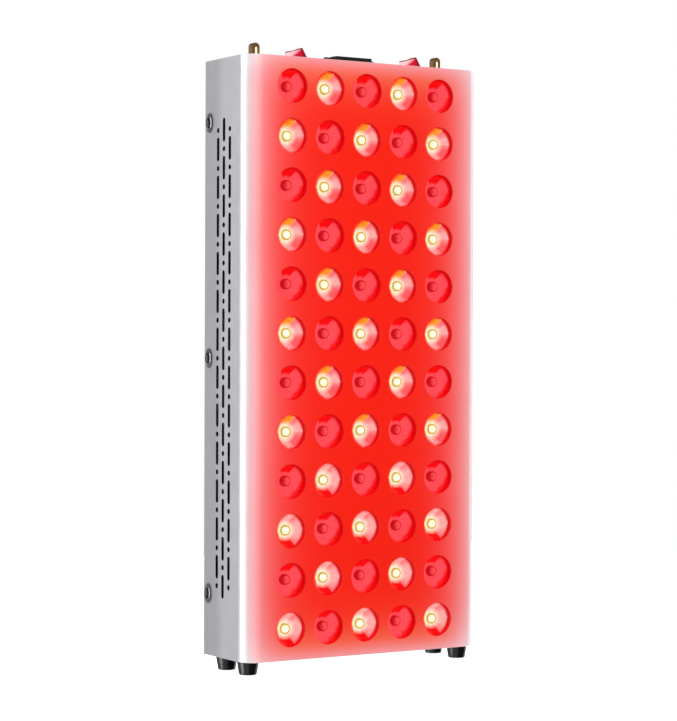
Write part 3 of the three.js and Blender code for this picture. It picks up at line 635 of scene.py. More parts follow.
class PANEL_OT_shell(bpy.types.Operator):
    """Front shell: one folded sheet with lamp holes in front and vents in its sides"""
    bl_idname = "panel_light.shell"
    bl_label = "Front shell"

    def execute(self, context):
        sizes = context.scene.panel_shell
        corners = [(HALF, REAR), (HALF, FRONT), (-HALF, FRONT), (-HALF, REAR)]
        bm = bmesh.new()
        verts = [bm.verts.new((x, y, BASE)) for x, y in corners]
        edges = [bm.edges.new(pair) for pair in zip(verts, verts[1:])]
        moved(bm, (0, 0, HEIGHT), new_verts(bmesh.ops.extrude_edge_only(bm, edges=edges)))
        rounded(bm, edges_along(bm, 2, lambda point: point.y < FRONT + MM), sizes.corner, 14)
        piece = as_object("shell_front", bm)
        for material in sheet_finishes(context):
            piece.data.materials.append(material)
        walled(piece, sizes.sheet, inner=1)
        softened(piece, SHELL_RIM)
        cut(piece, joined(self.lamp_cutters(sizes), self.vent_cutters(sizes), self.screw_cutters()))
        complete(piece, sheet_finishes(context), ["front_shell"])
        return {"FINISHED"}

    def lamp_cutters(self, sizes):
        """Round holes whose front rims are rolled in a little."""
        flare, radius, end = sizes.flare, sizes.hole, sizes.sheet + OVERRUN
        profile = [(0, -OVERRUN), (radius + flare, -OVERRUN), (radius + flare, 0)]
        for step in range(1, 4):
            turn = step / 4 * QUARTER
            profile.append((radius + flare * (1 - math.sin(turn)), flare * (1 - math.cos(turn))))
        profile += [(radius, flare), (radius, end), (0, end)]
        hole = turned(profile, MANY, ALONG_Y)
        return copies(hole, [Matrix.Translation(lamp_place(*lamp)) for lamp in LAMPS])

    def vent_cutters(self, sizes):
        """Columns of slots and dots that take turns, right through both sides."""
        pitch = (HEIGHT - 2 * sizes.vent_margin) / (sizes.vent_steps - 1)
        reach = HALF + OVERRUN
        parts = []
        for column in range(sizes.vent_columns):
            depth = FRONT + sizes.vent_depth + (column - (sizes.vent_columns - 1) / 2) * sizes.vent_pitch
            for step in range(sizes.vent_steps):
                slotted = (step + column) % 2 == 1
                width = sizes.vent_slot if slotted else sizes.vent_dot
                rise = pitch * sizes.slot_share if slotted else sizes.vent_dot
                height = (BASE + TOP) / 2 + ((sizes.vent_steps - 1) / 2 - step) * pitch
                low = (-reach, depth - width / 2, height - rise / 2)
                high = (reach, depth + width / 2, height + rise / 2)
                vent = box(low, high)
                parts.append(rounded(vent, edges_along(vent, 0), width * SLOT_END, 6))
        # The walls of the slots and dots take the painted shade of the inside
        return paint_faces(joined(*parts), 1)

    def screw_cutters(self):
        """Holes for the screws of both sides."""
        reach = HALF + OVERRUN
        places = [middle("side_screw_left_%d" % number) for number in (1, 2, 3)]
        holes = [bore(place, SIDE_SCREW_HOLE, -reach, reach, ALONG_X) for place in places]
        # The walls of the holes take the painted shade of the inside
        return paint_faces(joined(*holes), 1)


class PANEL_OT_end_plates(bpy.types.Operator):
    """Top plate and bottom plate, which follow the inside of the fold"""
    bl_idname = "panel_light.end_plates"
    bl_label = "End plates"

    def execute(self, context):
        sizes = context.scene.panel_shell
        for node_name, cutter in (("top_plate", self.top_openings()), ("bottom_plate", self.screw_holes())):
            is_top = node_name == "top_plate"
            piece = self.plate(node_name, sizes, is_top)
            walled(piece, sizes.sheet)
            self.level(piece.data, sizes.sheet, is_top)
            softened(piece, PLATE_RIM)
            cut(piece, cutter)
            complete(piece, sheet_finishes(context), [node_name])
        return {"FINISHED"}

    def plate(self, node_name, sizes, is_top):
        """Flat plate with two round front corners and a flange along each side."""
        low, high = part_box(node_name)
        level = high.z if is_top else low.z
        drop = (low.z - high.z + MM / 2) if is_top else (high.z - low.z - MM / 2)
        flange_end = REAR - sizes.sheet - sizes.flange - MM
        depths = (high.y, flange_end, low.y)
        points = [(low.x, y) for y in depths] + [(high.x, y) for y in reversed(depths)]
        if not is_top:
            points.reverse()
        bm = bmesh.new()
        verts = [bm.verts.new((x, y, level)) for x, y in points]
        bm.faces.new(verts)
        fronts = [vert for vert in verts if vert.co.y < low.y + MM]
        inner = sizes.corner - (HALF - high.x)
        bmesh.ops.bevel(bm, geom=fronts, offset=inner, offset_type="OFFSET", segments=10, profile=0.5,
                        affect="VERTICES", material=-1, clamp_overlap=True)
        sides = edges_along(bm, 1, lambda point: point.y < flange_end)
        moved(bm, (0, 0, drop), new_verts(bmesh.ops.extrude_edge_only(bm, edges=sides)))
        return as_object("shell_top" if is_top else "shell_bottom", bm)

    def level(self, mesh, sheet, is_top):
        """Sets the plate's inner face at the sheet's thickness from its outer one, also along the folds."""
        outer = TOP if is_top else BASE
        for vert in mesh.vertices:
            if sheet / 2 < abs(vert.co.z - outer) < 3 * sheet:
                vert.co.z = outer + (-sheet if is_top else sheet)

    def top_openings(self):
        """Openings for the switches, the inlet, its screws and the hanging eyes."""
        low, high = TOP - PLATE_REACH, TOP + OVERRUN
        parts = []
        for side in SIDES:
            parts.append(box_about(middle("switch_body_" + side), *SWITCH_OPENING, low, high))
            parts.append(bore(middle("hanging_eye_" + side), EYE_HOLE, low, high))
            parts.append(bore(middle("inlet_screw_" + side), SMALL_SCREW_HOLE, low, high))
        parts.append(box_about(middle("inlet_socket"), *INLET_OPENING, low, high))
        return joined(*parts)

    def screw_holes(self):
        """Holes for the screws of the feet."""
        low, high = BASE - OVERRUN, BASE + PLATE_REACH
        return joined(*[bore(middle("foot_%s_%s" % foot), FOOT_SCREW_HOLE, low, high) for foot in FEET])


class PANEL_OT_rear_cover(bpy.types.Operator):
    """Rear cover: a tray with a ring grille over each fan"""
    bl_idname = "panel_light.rear_cover"
    bl_label = "Rear cover"

    def execute(self, context):
        sizes = context.scene.panel_shell
        bm = box(COVER_LOW, COVER_HIGH)
        front = [face for face in bm.faces if face.calc_center_median().y < COVER_LOW.y + MM]
        bmesh.ops.delete(bm, geom=front, context="FACES_ONLY")
        rounded(bm, sharp_edges(bm, test=lambda point: point.y > COVER_HIGH.y - MM), 1.2 * MM, 4)
        piece = as_object("shell_rear_cover", bm)
        walled(piece, sizes.sheet)
        softened(piece, PLATE_RIM)
        cut(piece, self.openings())
        complete(piece, sheet_finishes(context), ["rear_cover"])
        return {"FINISHED"}

    def openings(self):
        """Rings of slots and a hole over each fan, and the holes for its screws."""
        low, high = REAR - COVER_REACH, REAR + OVERRUN
        parts = []
        for name in FANS:
            centre = middle("fan_rotor_" + name)
            for radius in GRILLE_RADII:
                for quarter in range(4):
                    slot = self.ring_slot(radius, (quarter + 0.5) * QUARTER, low, high)
                    parts.append(moved(slot, (centre.x, 0, centre.z)))
            parts.append(bore(centre, GRILLE_HOLE, low, high, ALONG_Y))
            for number in range(1, 5):
                place = middle("fan_screw_%s_%d" % (name, number))
                parts.append(bore(place, SMALL_SCREW_HOLE, low, high, ALONG_Y))
        return joined(*parts)

    def ring_slot(self, radius, start, low, high):
        """A slot that bends round the fan between two spokes, with round ends."""
        margin = math.asin(SPOKE / 2 / radius)
        begin = start + margin
        out = Vector((math.cos(begin), 0, math.sin(begin)))
        bm = bmesh.new()
        verts = [bm.verts.new(out * (radius + side * GRILLE_SLOT / 2)) for side in (-1, 1)]
        for vert in verts:
            vert.co.y = low
        edge = bm.edges.new(verts)
        bmesh.ops.spin(bm, geom=[*verts, edge], cent=(0, 0, 0), axis=(0, -1, 0), dvec=(0, 0, 0),
                       angle=QUARTER - 2 * margin, steps=10, use_merge=False, use_duplicate=False)
        result = bmesh.ops.extrude_face_region(bm, geom=list(bm.faces))
        moved(bm, (0, high - low, 0), new_verts(result))
        bmesh.ops.recalc_face_normals(bm, faces=bm.faces)
        corners = [edge for edge in edges_along(bm, 1) if edge.calc_face_angle(0.0) > RIM_ANGLE]
        return rounded(bm, corners, GRILLE_SLOT * 0.4, 5)


# Painted light that the parts of a cup show
DEEP_RED = (0.86, 0.0015, 0.003)
RIM_RED = (0.60, 0.0005, 0.002)
BRIGHT_RED = (1.0, 0.070, 0.088)
PEACH = (1.1, 0.55, 0.30)
PINK = (1.05, 0.41, 0.39)
TIP_PINK = (1.05, 0.11, 0.12)
ORANGE = (1.12, 0.30, 0.015)
HALO = (1.15, 0.90, 0.68)
FACE_RED = (0.95, 0.03, 0.02)
# Painted light at a glowing cup's mouth by the angle round it, in degrees from the right
UPPER_MOUTH = ((0, PINK), (30, PINK), (48, TIP_PINK), (62, PINK), (74, ORANGE), (118, ORANGE), (150, PEACH),
               (235, PEACH), (265, PINK), (300, TIP_PINK), (335, TIP_PINK), (360, PINK))
LOWER_MOUTH = ((0, PINK), (30, PINK), (55, TIP_PINK), (80, PINK), (120, PINK), (150, PEACH), (228, PEACH),
               (244, DEEP_RED), (290, DEEP_RED), (306, TIP_PINK), (335, PINK), (360, PINK))
UPPER_ROWS = LAMP_ROWS * 2 // 3
# How far out the painted light of a dull cup turns deep red by the angle round it, and how fast it does
RED_FROM = ((0, 0.80), (38, 0.92), (56, 0.7), (68, 0.1), (115, 0.12), (135, 1.3), (245, 1.3), (275, 0.8),
            (300, 0.55), (340, 0.62), (360, 0.80))
RED_SPEED = 5
# A glowing cup's share of its mouth's colour at the foot, and what the way out adds
MOUTH_LEAST, MOUTH_MORE = 0.2, 1.9
# How far a facet draws the angles on it together, and up to how many degrees
FACET_DRAW, FACET_REACH = -0.35, 24
# The edge of the opening shades the near side of a cup
SHADE_LEAN, SHADE_START, SHADE_BLEND = 0.62, 12.0 * MM, 1.4 * MM
# Light that the parts of an emitter show: the lit lenses glow as lamps, the rest is painted light and shade
LENS_ON = (1.6, 1.5, 0.85)
SHOULDER_ON = (0.66, 0.46, 0.15)
EDGE_ON = (0.46, 0.27, 0.05)
SIDE_ON = (1.1, 0.85, 0.35)
LENS_OFF = (1.0, 0.08, 0.09)
EDGE_OFF = (0.50, 0.0, 0.003)
SIDE_OFF = (0.46, 0.0, 0.004)


def mixed(first, second, share):
    """Colour between two others."""
    share = max(0.0, min(1.0, share))
    return [a + (b - a) * share for a, b in zip(first, second)]


def between(stops, turn):
    """Value between the two stops that an angle lies between."""
    for (low, first), (high, second) in zip(stops, stops[1:]):
        if turn <= high:
            break
    share = (turn - low) / (high - low)
    if isinstance(first, tuple):
        return mixed(first, second, share)
    return first + (second - first) * share


def cup_painted_light(inward, normal, lit, row, sizes):
    """Painted light at a point of a cup: palest at the emitter, redder towards the mouth."""
    radius = math.hypot(inward.x, inward.z)
    if inward.y < sizes.well_depth + 0.1 * MM or radius > sizes.mouth + 0.3 * MM:
        return mixed(DEEP_RED, RIM_RED, 0.5 + 0.5 * (inward.x + inward.z) / (radius + MM))
    out = (radius - sizes.foot) / (sizes.mouth - sizes.foot)
    turn = math.degrees(math.atan2(inward.z, inward.x)) % 360
    facet = math.degrees(math.atan2(-normal.z, -normal.x)) % 360
    off_facet = (turn - facet + 180) % 360 - 180
    turn += max(-FACET_REACH, min(FACET_REACH, off_facet)) * FACET_DRAW
    turn %= 360
    if not lit:
        return mixed(BRIGHT_RED, DEEP_RED, RED_SPEED * (out - between(RED_FROM, turn)))
    mouth = between(UPPER_MOUTH if row < UPPER_ROWS else LOWER_MOUTH, turn)
    light = mixed(HALO, mouth, MOUTH_LEAST + MOUTH_MORE * out)
    if inward.x >= 0:
        return light
    reach = math.hypot(inward.x - SHADE_LEAN * inward.y, inward.z)
    return mixed(light, FACE_RED, (reach - SHADE_START) / SHADE_BLEND)


def emitter_painted_light(inward, lit, sizes):
    """Lamp glow, painted light and painted shade at a point of an emitter: bright lens and shoulder, dark
    edge, side darker at its left.
    """
    radius = math.hypot(inward.x, inward.z)
    left = 0.5 - 0.5 * inward.x / sizes.body
    if radius < sizes.lens + 0.05 * MM:
        return LENS_ON if lit else mixed(LENS_OFF, SIDE_OFF, 2.2 * left - 0.95)
    if radius > sizes.body + 0.1 * MM:
        return HALO if lit else BRIGHT_RED
    if radius < sizes.body - 0.5 * MM:
        if lit:
            return mixed(SHOULDER_ON, LENS_ON, 3 * left - 1.8)
        return mixed(LENS_OFF, SIDE_OFF, 2.4 * left - 0.6)
    if inward.y < 0.6 * MM:
        return EDGE_ON if lit else EDGE_OFF
    return mixed(EDGE_ON, SIDE_ON, 2 * left - 1) if lit else mixed(EDGE_OFF, SIDE_OFF, left)


# Angle of a cup's facet, and the bend and the step of the ledge between the round well and the cup
FACET = TURN / 6
LEDGE_BEND, LEDGE_STEP = mm(0.6, 0.2)
# A cup's rings, as shares of the way from its foot to its mouth
CUP_SHARES = (1.0, 0.86, 0.72, 0.58, 0.44, 0.24, 0.0)


class PANEL_OT_reflectors(bpy.types.Operator):
    """Reflector modules: a round well, then a six-sided cup, for each lamp"""
    bl_idname = "panel_light.reflectors"
    bl_label = "Reflector modules"

    def execute(self, context):
        sizes = context.scene.panel_lamps
        material = painted_glow("metallised_cup", sizes.plastic, 0.3)
        for index, name in enumerate(MODULES):
            low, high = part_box(name)
            block = box(low, high)
            rounded(block, sharp_edges(block), 0.3 * MM, 2)
            piece = as_object("lamp_" + name, block)
            lamps = [lamp for lamp in LAMPS if lamp[0] // ROWS_PER_MODULE == index]
            cup = self.cup(sizes, high.y - FRONT)
            cut(piece, copies(cup, [Matrix.Translation(lamp_place(*lamp)) for lamp in lamps]))
            self.painted_light(piece.data, lamps, sizes)
            complete(piece, [material], [name])
        return {"FINISHED"}

    def rings(self, sizes, depth):
        """Radius, form and depth of each ring: round in the well, six-sided below it."""
        floor = sizes.well_depth
        ledge = floor + LEDGE_STEP
        rings = [(sizes.well, False, floor - LEDGE_BEND), (sizes.well - LEDGE_STEP, False, floor)]
        for share in CUP_SHARES:
            radius = sizes.foot + share * (sizes.mouth - sizes.foot)
            rings.append((radius, True, ledge + (1 - share) * (depth - ledge)))
        rings.append((sizes.foot, True, depth + OVERRUN))
        return rings

    def cup(self, sizes, depth):
        """Cutter for one lamp about its place on the front face, drawn inwards ring by ring."""
        bm = bmesh.new()
        bmesh.ops.create_circle(bm, cap_ends=True, radius=sizes.well, segments=SOME,
                                matrix=Matrix.Rotation(QUARTER, 4, "X"))
        ring = list(bm.edges)
        for radius, six_sided, level in self.rings(sizes, depth):
            result = bmesh.ops.extrude_edge_only(bm, edges=ring)
            ring = [item for item in result["geom"] if isinstance(item, bmesh.types.BMEdge)]
            for vert in new_verts(result):
                turn = math.atan2(vert.co.z, vert.co.x)
                from_flat = turn % FACET - FACET / 2
                reach = radius * (math.cos(FACET / 2) / math.cos(from_flat) if six_sided else 1.0)
                vert.co = Vector((reach * math.cos(turn), level, reach * math.sin(turn)))
        bmesh.ops.contextual_create(bm, geom=ring)
        bmesh.ops.recalc_face_normals(bm, faces=bm.faces)
        return bm

    def painted_light(self, mesh, lamps, sizes):
        """Painted light attribute: what each part of a cup shows of the lamp's light."""
        layer = mesh.color_attributes.new(PAINTED_LIGHT, "FLOAT_COLOR", "CORNER")
        centres = [(lamp_place(*lamp), is_lit(*lamp), lamp[0]) for lamp in lamps]
        for polygon in mesh.polygons:
            heart = polygon.center
            centre, lit, row = min(centres, key=lambda item: (item[0] - heart).length)
            for loop in polygon.loop_indices:
                point = mesh.vertices[mesh.loops[loop].vertex_index].co
                inward = point.lerp(heart, 0.08) - centre
                layer.data[loop].color = (*cup_painted_light(inward, polygon.normal, lit, row, sizes), 1.0)


# An emitter: rounding of its edges, the flat round its lens, its seat's height and how far that is sunk
EMITTER_ROUND, LENS_FLAT, SEAT_RISE, SEAT_SUNK = mm(0.35, 0.6, 0.15, 0.1)


class PANEL_OT_emitters(bpy.types.Operator):
    """LED board with a round emitter and its lens in each cup"""
    bl_idname = "panel_light.emitters"
    bl_label = "LED board"

    def execute(self, context):
        sizes = context.scene.panel_lamps
        face, shoulder = BOARD_HIGH.y - sizes.board, BOARD_LOW.y
        board = box((BOARD_LOW.x, face, BOARD_LOW.z), BOARD_HIGH)
        rounded(board, sharp_edges(board), 0.2 * MM, 2)
        parts = []
        for lit in (False, True):
            spots = [lamp_place(*lamp) for lamp in LAMPS if is_lit(*lamp) == lit]
            emitter = self.emitter(sizes, face - shoulder, lit)
            parts.append(copies(emitter, [Matrix.Translation((spot.x, shoulder, spot.z)) for spot in spots]))
        piece = as_object("lamp_led_board", joined(board, *parts))
        self.painted_light(piece.data, sizes, shoulder)
        mask = finish("board_mask", sizes.mask, 0.5, grain=500.0, mottle=0.06)
        dull = painted_glow("emitter_off", sizes.dull, 0.3)
        live = painted_glow("emitter_on", sizes.live, 0.25)
        shader_of(dull).inputs["Coat Weight"].default_value = 0.3
        complete(piece, [mask, dull, live], ["led_board"])
        return {"FINISHED"}

    def emitter(self, sizes, height, lit):
        """Round body and domed lens, its shoulder at zero and the board behind it."""
        lens, body, soft = sizes.lens, sizes.body, EMITTER_ROUND
        seat, sunk = height - SEAT_RISE, height + SEAT_SUNK
        profile = []
        for step in range(5):
            turn = step / 5 * QUARTER
            profile.append((lens * math.sin(turn), -sizes.lens_rise * math.cos(turn)))
        profile += [(lens, 0), (lens + LENS_FLAT, 0), (body - soft, 0), (body - soft * 0.3, soft * 0.3),
                    (body, soft), (body, seat - soft), (body + soft, seat), (sizes.seat, seat),
                    (sizes.seat, sunk), (0, sunk)]
        return paint_faces(turned(profile, FEW, ALONG_Y), 2 if lit else 1)

    def painted_light(self, mesh, sizes, shoulder):
        """Colour attribute of lamp glow and painted light: lens, shoulder and side of each emitter."""
        layer = mesh.color_attributes.new(PAINTED_LIGHT, "FLOAT_COLOR", "CORNER")
        for polygon in mesh.polygons:
            for loop in polygon.loop_indices:
                point = mesh.vertices[mesh.loops[loop].vertex_index].co
                shown = (0.0, 0.0, 0.0)
                if polygon.material_index:
                    spot = nearest_lamp(polygon.center)
                    inward = point - Vector((spot.x, shoulder, spot.z))
                    shown = emitter_painted_light(inward, polygon.material_index == 2, sizes)
                layer.data[loop].color = (*shown, 1.0)


# Fan frames: rounding of their corners, radius of the duct, half the pitch of the screws
FRAME_CORNER, DUCT, SCREW_PITCH = mm(4, 38, 35.75)
# Their struts, the seat of the motor and its shaft
STRUT_DEPTH, STRUT_WIDTH, STRUT_START, STRUT_END = mm(2.5, 3, 14, 38.6)
MOTOR_SEAT, MOTOR_EDGE = mm(16, 0.6)
SHAFT, SHAFT_END, SHAFT_REACH, SHAFT_CHAMFER = mm(1.5, 1.3, 8, 0.3)
# Rotors: hub, its rounding, and the bore that takes the shaft
HUB, HUB_ROUND, SHAFT_BORE, BORE_DEPTH = mm(15, 1.5, 2, 8.5)
# Blades: radius of the tip, half the chord, rise, wall and camber
BLADES = 7
BLADE_TIP, CHORD, BLADE_RISE, BLADE_WALL, CAMBER = mm(35.6, 8.4, 5.2, 1.2, 1.4)


class PANEL_OT_fans(bpy.types.Operator):
    """Two fans: square frames with a round duct, rotors with curved blades"""
    bl_idname = "panel_light.fans"
    bl_label = "Fans"

    def execute(self, context):
        for name in FANS:
            low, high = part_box("fan_frame_" + name)
            centre = middle("fan_rotor_" + name)
            block = box(low, high)
            piece = as_object("fan_housing_" + name, rounded(block, edges_along(block, 1), FRAME_CORNER, 6))
            cut(piece, self.duct(low, high, centre))
            with_parts(piece, self.struts(high.y, centre))
            complete(piece, [black_plastic(context)], ["fan_frame_" + name])
            rotor = as_object("fan_blades_" + name, self.rotor(name))
            complete(rotor, [black_plastic(context)], ["fan_rotor_" + name],
                     body="fan_" + name)
        return {"FINISHED"}

    def duct(self, low, high, centre):
        """Bore with a flared mouth, and the screw holes."""
        start, end = low.y - OVERRUN, high.y + OVERRUN
        mouth = DUCT + MM
        profile = [(0, start), (mouth, start), (mouth, low.y), (DUCT, low.y + 2 * MM), (DUCT, end), (0, end)]
        parts = [moved(turned(profile, MANY, ALONG_Y), (centre.x, 0, centre.z))]
        for x in (-SCREW_PITCH, SCREW_PITCH):
            for z in (-SCREW_PITCH, SCREW_PITCH):
                parts.append(bore(centre + Vector((x, 0, z)), SMALL_SCREW_HOLE, start, end, ALONG_Y))
        return joined(*parts)

    def struts(self, back, centre):
        """Motor seat, shaft and four arms."""
        front = back - STRUT_DEPTH
        inner, tip = MOTOR_SEAT - MOTOR_EDGE, front - SHAFT_REACH
        seat = turned([(0, front), (inner, front), (MOTOR_SEAT, front + MOTOR_EDGE),
                       (MOTOR_SEAT, back - MOTOR_EDGE), (inner, back), (0, back)], MANY, ALONG_Y)
        shaft = turned([(0, tip), (SHAFT_END, tip), (SHAFT, tip + SHAFT_CHAMFER), (SHAFT, front), (0, front)],
                       FEW, ALONG_Y)
        arms = []
        for quarter in range(4):
            arm = box((STRUT_START, front, -STRUT_WIDTH / 2), (STRUT_END, back, STRUT_WIDTH / 2))
            rounded(arm, edges_along(arm, 0), 0.5 * MM, 2)
            arms.append(spun(arm, quarter * QUARTER, "Y"))
        return moved(joined(seat, shaft, *arms), (centre.x, 0, centre.z))

    def rotor(self, name):
        """Hub with a rounded front and seven blades that twist from root to tip."""
        low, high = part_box("fan_rotor_" + name)
        half = (high.y - low.y) / 2
        profile = [(0, -half)]
        for step in range(5):
            turn = step / 4 * QUARTER
            profile.append((HUB - HUB_ROUND + HUB_ROUND * math.sin(turn),
                            -half + HUB_ROUND * (1 - math.cos(turn))))
        profile += [(HUB, half), (SHAFT_BORE, half), (SHAFT_BORE, half - BORE_DEPTH), (0, half - BORE_DEPTH)]
        core = turned(profile, MANY, ALONG_Y)
        turns = [Matrix.Rotation(index * TURN / BLADES, 4, "Y") for index in range(BLADES)]
        blades = copies(self.blade(HUB - MM), turns)
        return moved(joined(core, blades), middle("fan_rotor_" + name))

    def blade(self, root):
        """One blade: a grid bent to its camber, given a wall and soft edges."""
        bm = bmesh.new()
        bmesh.ops.create_grid(bm, x_segments=8, y_segments=8, size=1.0)
        for vert in bm.verts:
            aside, out = vert.co.x, (vert.co.y + 1) / 2
            camber = CAMBER * (1 - aside * aside)
            slope = BLADE_RISE * (1.1 - 0.35 * out)
            width = CHORD * (0.8 + 0.25 * out)
            vert.co = Vector((aside * width, aside * slope - camber, root + out * (BLADE_TIP - root)))
        bmesh.ops.recalc_face_normals(bm, faces=bm.faces)
        bmesh.ops.solidify(bm, geom=list(bm.faces), thickness=BLADE_WALL)
        bmesh.ops.recalc_face_normals(bm, faces=bm.faces)
        return rounded(bm, sharp_edges(bm), 0.3 * MM, 2)


def domed_head(radius, height, shank, reach, flange=0.0, flange_height=0.0):
    """Profile of a screw that looks up the axis: shank below zero and a domed head above."""
    profile = [(0, -reach), (shank * 0.8, -reach), (shank, -reach + shank * 0.3), (shank, 0)]
    if flange:
        soft = flange_height * 0.35
        profile += [(flange - soft, 0), (flange, soft), (flange, flange_height - soft),
                    (flange - soft, flange_height), (flange - 3 * soft, flange_height),
                    (radius + 1.2 * MM, flange_height - soft * 0.8)]
    profile.append((radius, flange_height))
    steps = 7
    for step in range(1, steps):
        turn = step / steps * QUARTER
        profile.append((radius * math.cos(turn), flange_height + height * math.sin(turn)))
    profile.append((0, flange_height + height))
    return profile


def cross_slot(size, low, high, slim):
    """The two cutters of a cross slot."""
    bars = []
    for turn in (0, 1):
        bar = box((-size, -slim / 2, low), (size, slim / 2, high))
        bottom = [vert for vert in bar.verts if vert.co.z < (low + high) / 2]
        bmesh.ops.scale(bar, vec=(0.5, 0.8, 1), verts=bottom)
        bars.append(spun(bar, turn * QUARTER, "Z"))
    return bars


def screw_mesh(radius, height, shank, reach, flange=0.0, flange_height=0.0):
    """Mesh of a screw along Z: a head in a flange is plain, one without has a cross slot."""
    piece = as_object("screw", turned(domed_head(radius, height, shank, reach, flange, flange_height), SOME))
    if not flange:
        for bar in cross_slot(radius * 0.62, height * 0.25, height + OVERRUN, radius * 0.3):
            cut(piece, bar)
    mesh = piece.data
    bpy.data.objects.remove(piece)
    return mesh


def put(name, mesh, place, facing, materials, node_name):
    """Ties a copy of a mesh to its node, turned and moved to its place."""
    copy = mesh.copy()
    copy.transform(Matrix.Translation(place) @ facing)
    complete(linked(name, copy), materials, [node_name])


# Each kind of screw: radius and height of the head, radius and length of the shank
FAN_SCREW, FOOT_SCREW, INLET_SCREW = mm(3.2, 1.8, 1.5, 7), mm(3.3, 2.4, 1.8, 12), mm(2.4, 1.6, 1.5, 9)
# The screws of the sides have a flange too, which is narrower along the depth, and stand out this far
SIDE_SCREW = mm(4.5, 2.4, 2, 6, 7.9, 1.0)
SIDE_SCREW_OUT, FLANGE_SHARE = 3.4 * MM, 0.62
HEAD_FROM, HEAD_REACH = mm(0.95, 4.6)


class PANEL_OT_screws(bpy.types.Operator):
    """Screws of the sides, the fans, the feet and the inlet"""
    bl_idname = "panel_light.screws"
    bl_label = "Screws"

    def execute(self, context):
        fittings = context.scene.panel_fittings
        dark = finish("dark_chrome", fittings.chrome, 0.22, 1.0, grain=1200.0, mottle=0.3, wear=0.1)
        cap = finish("black_cap", fittings.cap, 0.3, grain=1500.0, mottle=0.2)
        self.side_screws([dark, cap])
        mesh = screw_mesh(*FAN_SCREW)
        for name in FANS:
            for number in range(1, 5):
                node_name = "fan_screw_%s_%d" % (name, number)
                place = middle(node_name)
                place.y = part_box(node_name)[1].y - FAN_SCREW[1]
                put("screw_fan_%s_%d" % (name, number), mesh, place, Matrix.Rotation(-QUARTER, 4, "X"),
                    [zinc(context)], node_name)
        mesh = screw_mesh(*FOOT_SCREW)
        for foot in FEET:
            node_name = "foot_screw_%s_%s" % foot
            place = middle(node_name)
            place.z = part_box(node_name)[0].z + FOOT_SCREW[1]
            put("screw_foot_%s_%s" % foot, mesh, place, Matrix.Rotation(TURN / 2, 4, "X"), [zinc(context)],
                node_name)
        mesh = screw_mesh(*INLET_SCREW)
        for side in SIDES:
            node_name = "inlet_screw_" + side
            place = middle(node_name)
            place.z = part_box(node_name)[1].z - INLET_SCREW[1]
            put("screw_inlet_" + side, mesh, place, Matrix.Identity(4), [cap], node_name)
        return {"FINISHED"}

    def side_screws(self, materials):
        """Dark domed heads in bright flanges, three on each side."""
        mesh = screw_mesh(*SIDE_SCREW)
        for polygon in mesh.polygons:
            x, y, z = polygon.center
            polygon.material_index = 1 if z > HEAD_FROM and math.hypot(x, y) < HEAD_REACH else 0
        mesh.transform(Matrix.Diagonal((1, FLANGE_SHARE, 1, 1)))
        for side, way in (("left", -1), ("right", 1)):
            facing = Matrix.Rotation(way * QUARTER, 4, "Y")
            for number in (1, 2, 3):
                node_name = "side_screw_%s_%d" % (side, number)
                low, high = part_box(node_name)
                place = middle(node_name)
                place.x = (high.x - SIDE_SCREW_OUT) if way > 0 else (low.x + SIDE_SCREW_OUT)
                put("screw_%s_%d" % (side, number), mesh, place, facing, materials, node_name)


# Feet: radii at the top and the sole, rounding, screw hole, and the room for the screw's head
FOOT_TOP, FOOT_SOLE, FOOT_ROUND = mm(8.8, 7.0, 0.7)
FOOT_BORE, HEAD_ROOM, HEAD_SEAT, HEAD_MOUTH, MOUTH_CHAMFER = mm(2.1, 3.8, 4, 4.2, 0.4)


class PANEL_OT_feet(bpy.types.Operator):
    """Four rubber feet, tapered and hollow for their screws"""
    bl_idname = "panel_light.feet"
    bl_label = "Feet"

    def execute(self, context):
        rubber = finish("black_rubber", context.scene.panel_fittings.rubber, 0.24, grain=1600.0, mottle=0.3,
                        bump=0.01, shine=0.6)
        for foot in FEET:
            node_name = "foot_%s_%s" % foot
            low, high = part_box(node_name)
            place = middle(node_name)
            pad = moved(turned(self.profile(high.z - low.z), MANY), (place.x, place.y, low.z))
            complete(as_object("foot_pad_%s_%s" % foot, pad), [rubber], [node_name])
        return {"FINISHED"}

    def profile(self, height):
        """Half a cut through a foot, from the top of its screw hole round to the same place."""
        wide, slim, soft = FOOT_TOP, FOOT_SOLE, FOOT_ROUND
        return [(FOOT_BORE, height), (FOOT_BORE, HEAD_SEAT), (HEAD_ROOM, HEAD_SEAT),
                (HEAD_ROOM, MOUTH_CHAMFER), (HEAD_MOUTH, 0), (slim - soft, 0),
                (slim - soft * 0.3, soft * 0.3), (slim, soft), (wide - 0.15 * MM, height - soft),
                (wide - 0.3 * MM, height - soft * 0.3), (wide - soft, height), (FOOT_BORE, height)]


# Rockers: how far they are tipped, where their pivot lies under the plate, and their painted highlight,
# crimson and painted shade
TILT = math.radians(16.3)
PIVOT_DROP = 1.6 * MM
ROCKER_HIGHLIGHT = (0.98, 0.66, 0.70)
CRIMSON = (0.50, 0.004, 0.020)
ROCKER_SHADE = (0.05, 0.001, 0.004)
CRIMSON_FROM, WEDGE_FROM, CREST_FROM = mm(-9.2, -6.2), mm(3.4, 5.4), mm(9.1, 9.5)
CRIMSON_LEAN, ROCKER_LIGHT = 0.42, 0.9
# Half sizes of a rocker's foot, crown and width, its drop and height over the pivot, dish and keel
ROCKER_FOOT, CROWN, ROCKER_HALF = mm(8.6, 6.4, 3.9)
ROCKER_DROP, ROCKER_HEIGHT, DISH, KEEL = mm(1.6, 8.6, 1.0, 4)
# Its pins: radius, radius of their ends, how far they stand out and their chamfer
PIN, PIN_END, PIN_OUT, PIN_CHAMFER = mm(1.2, 1.0, 0.9, 0.2)
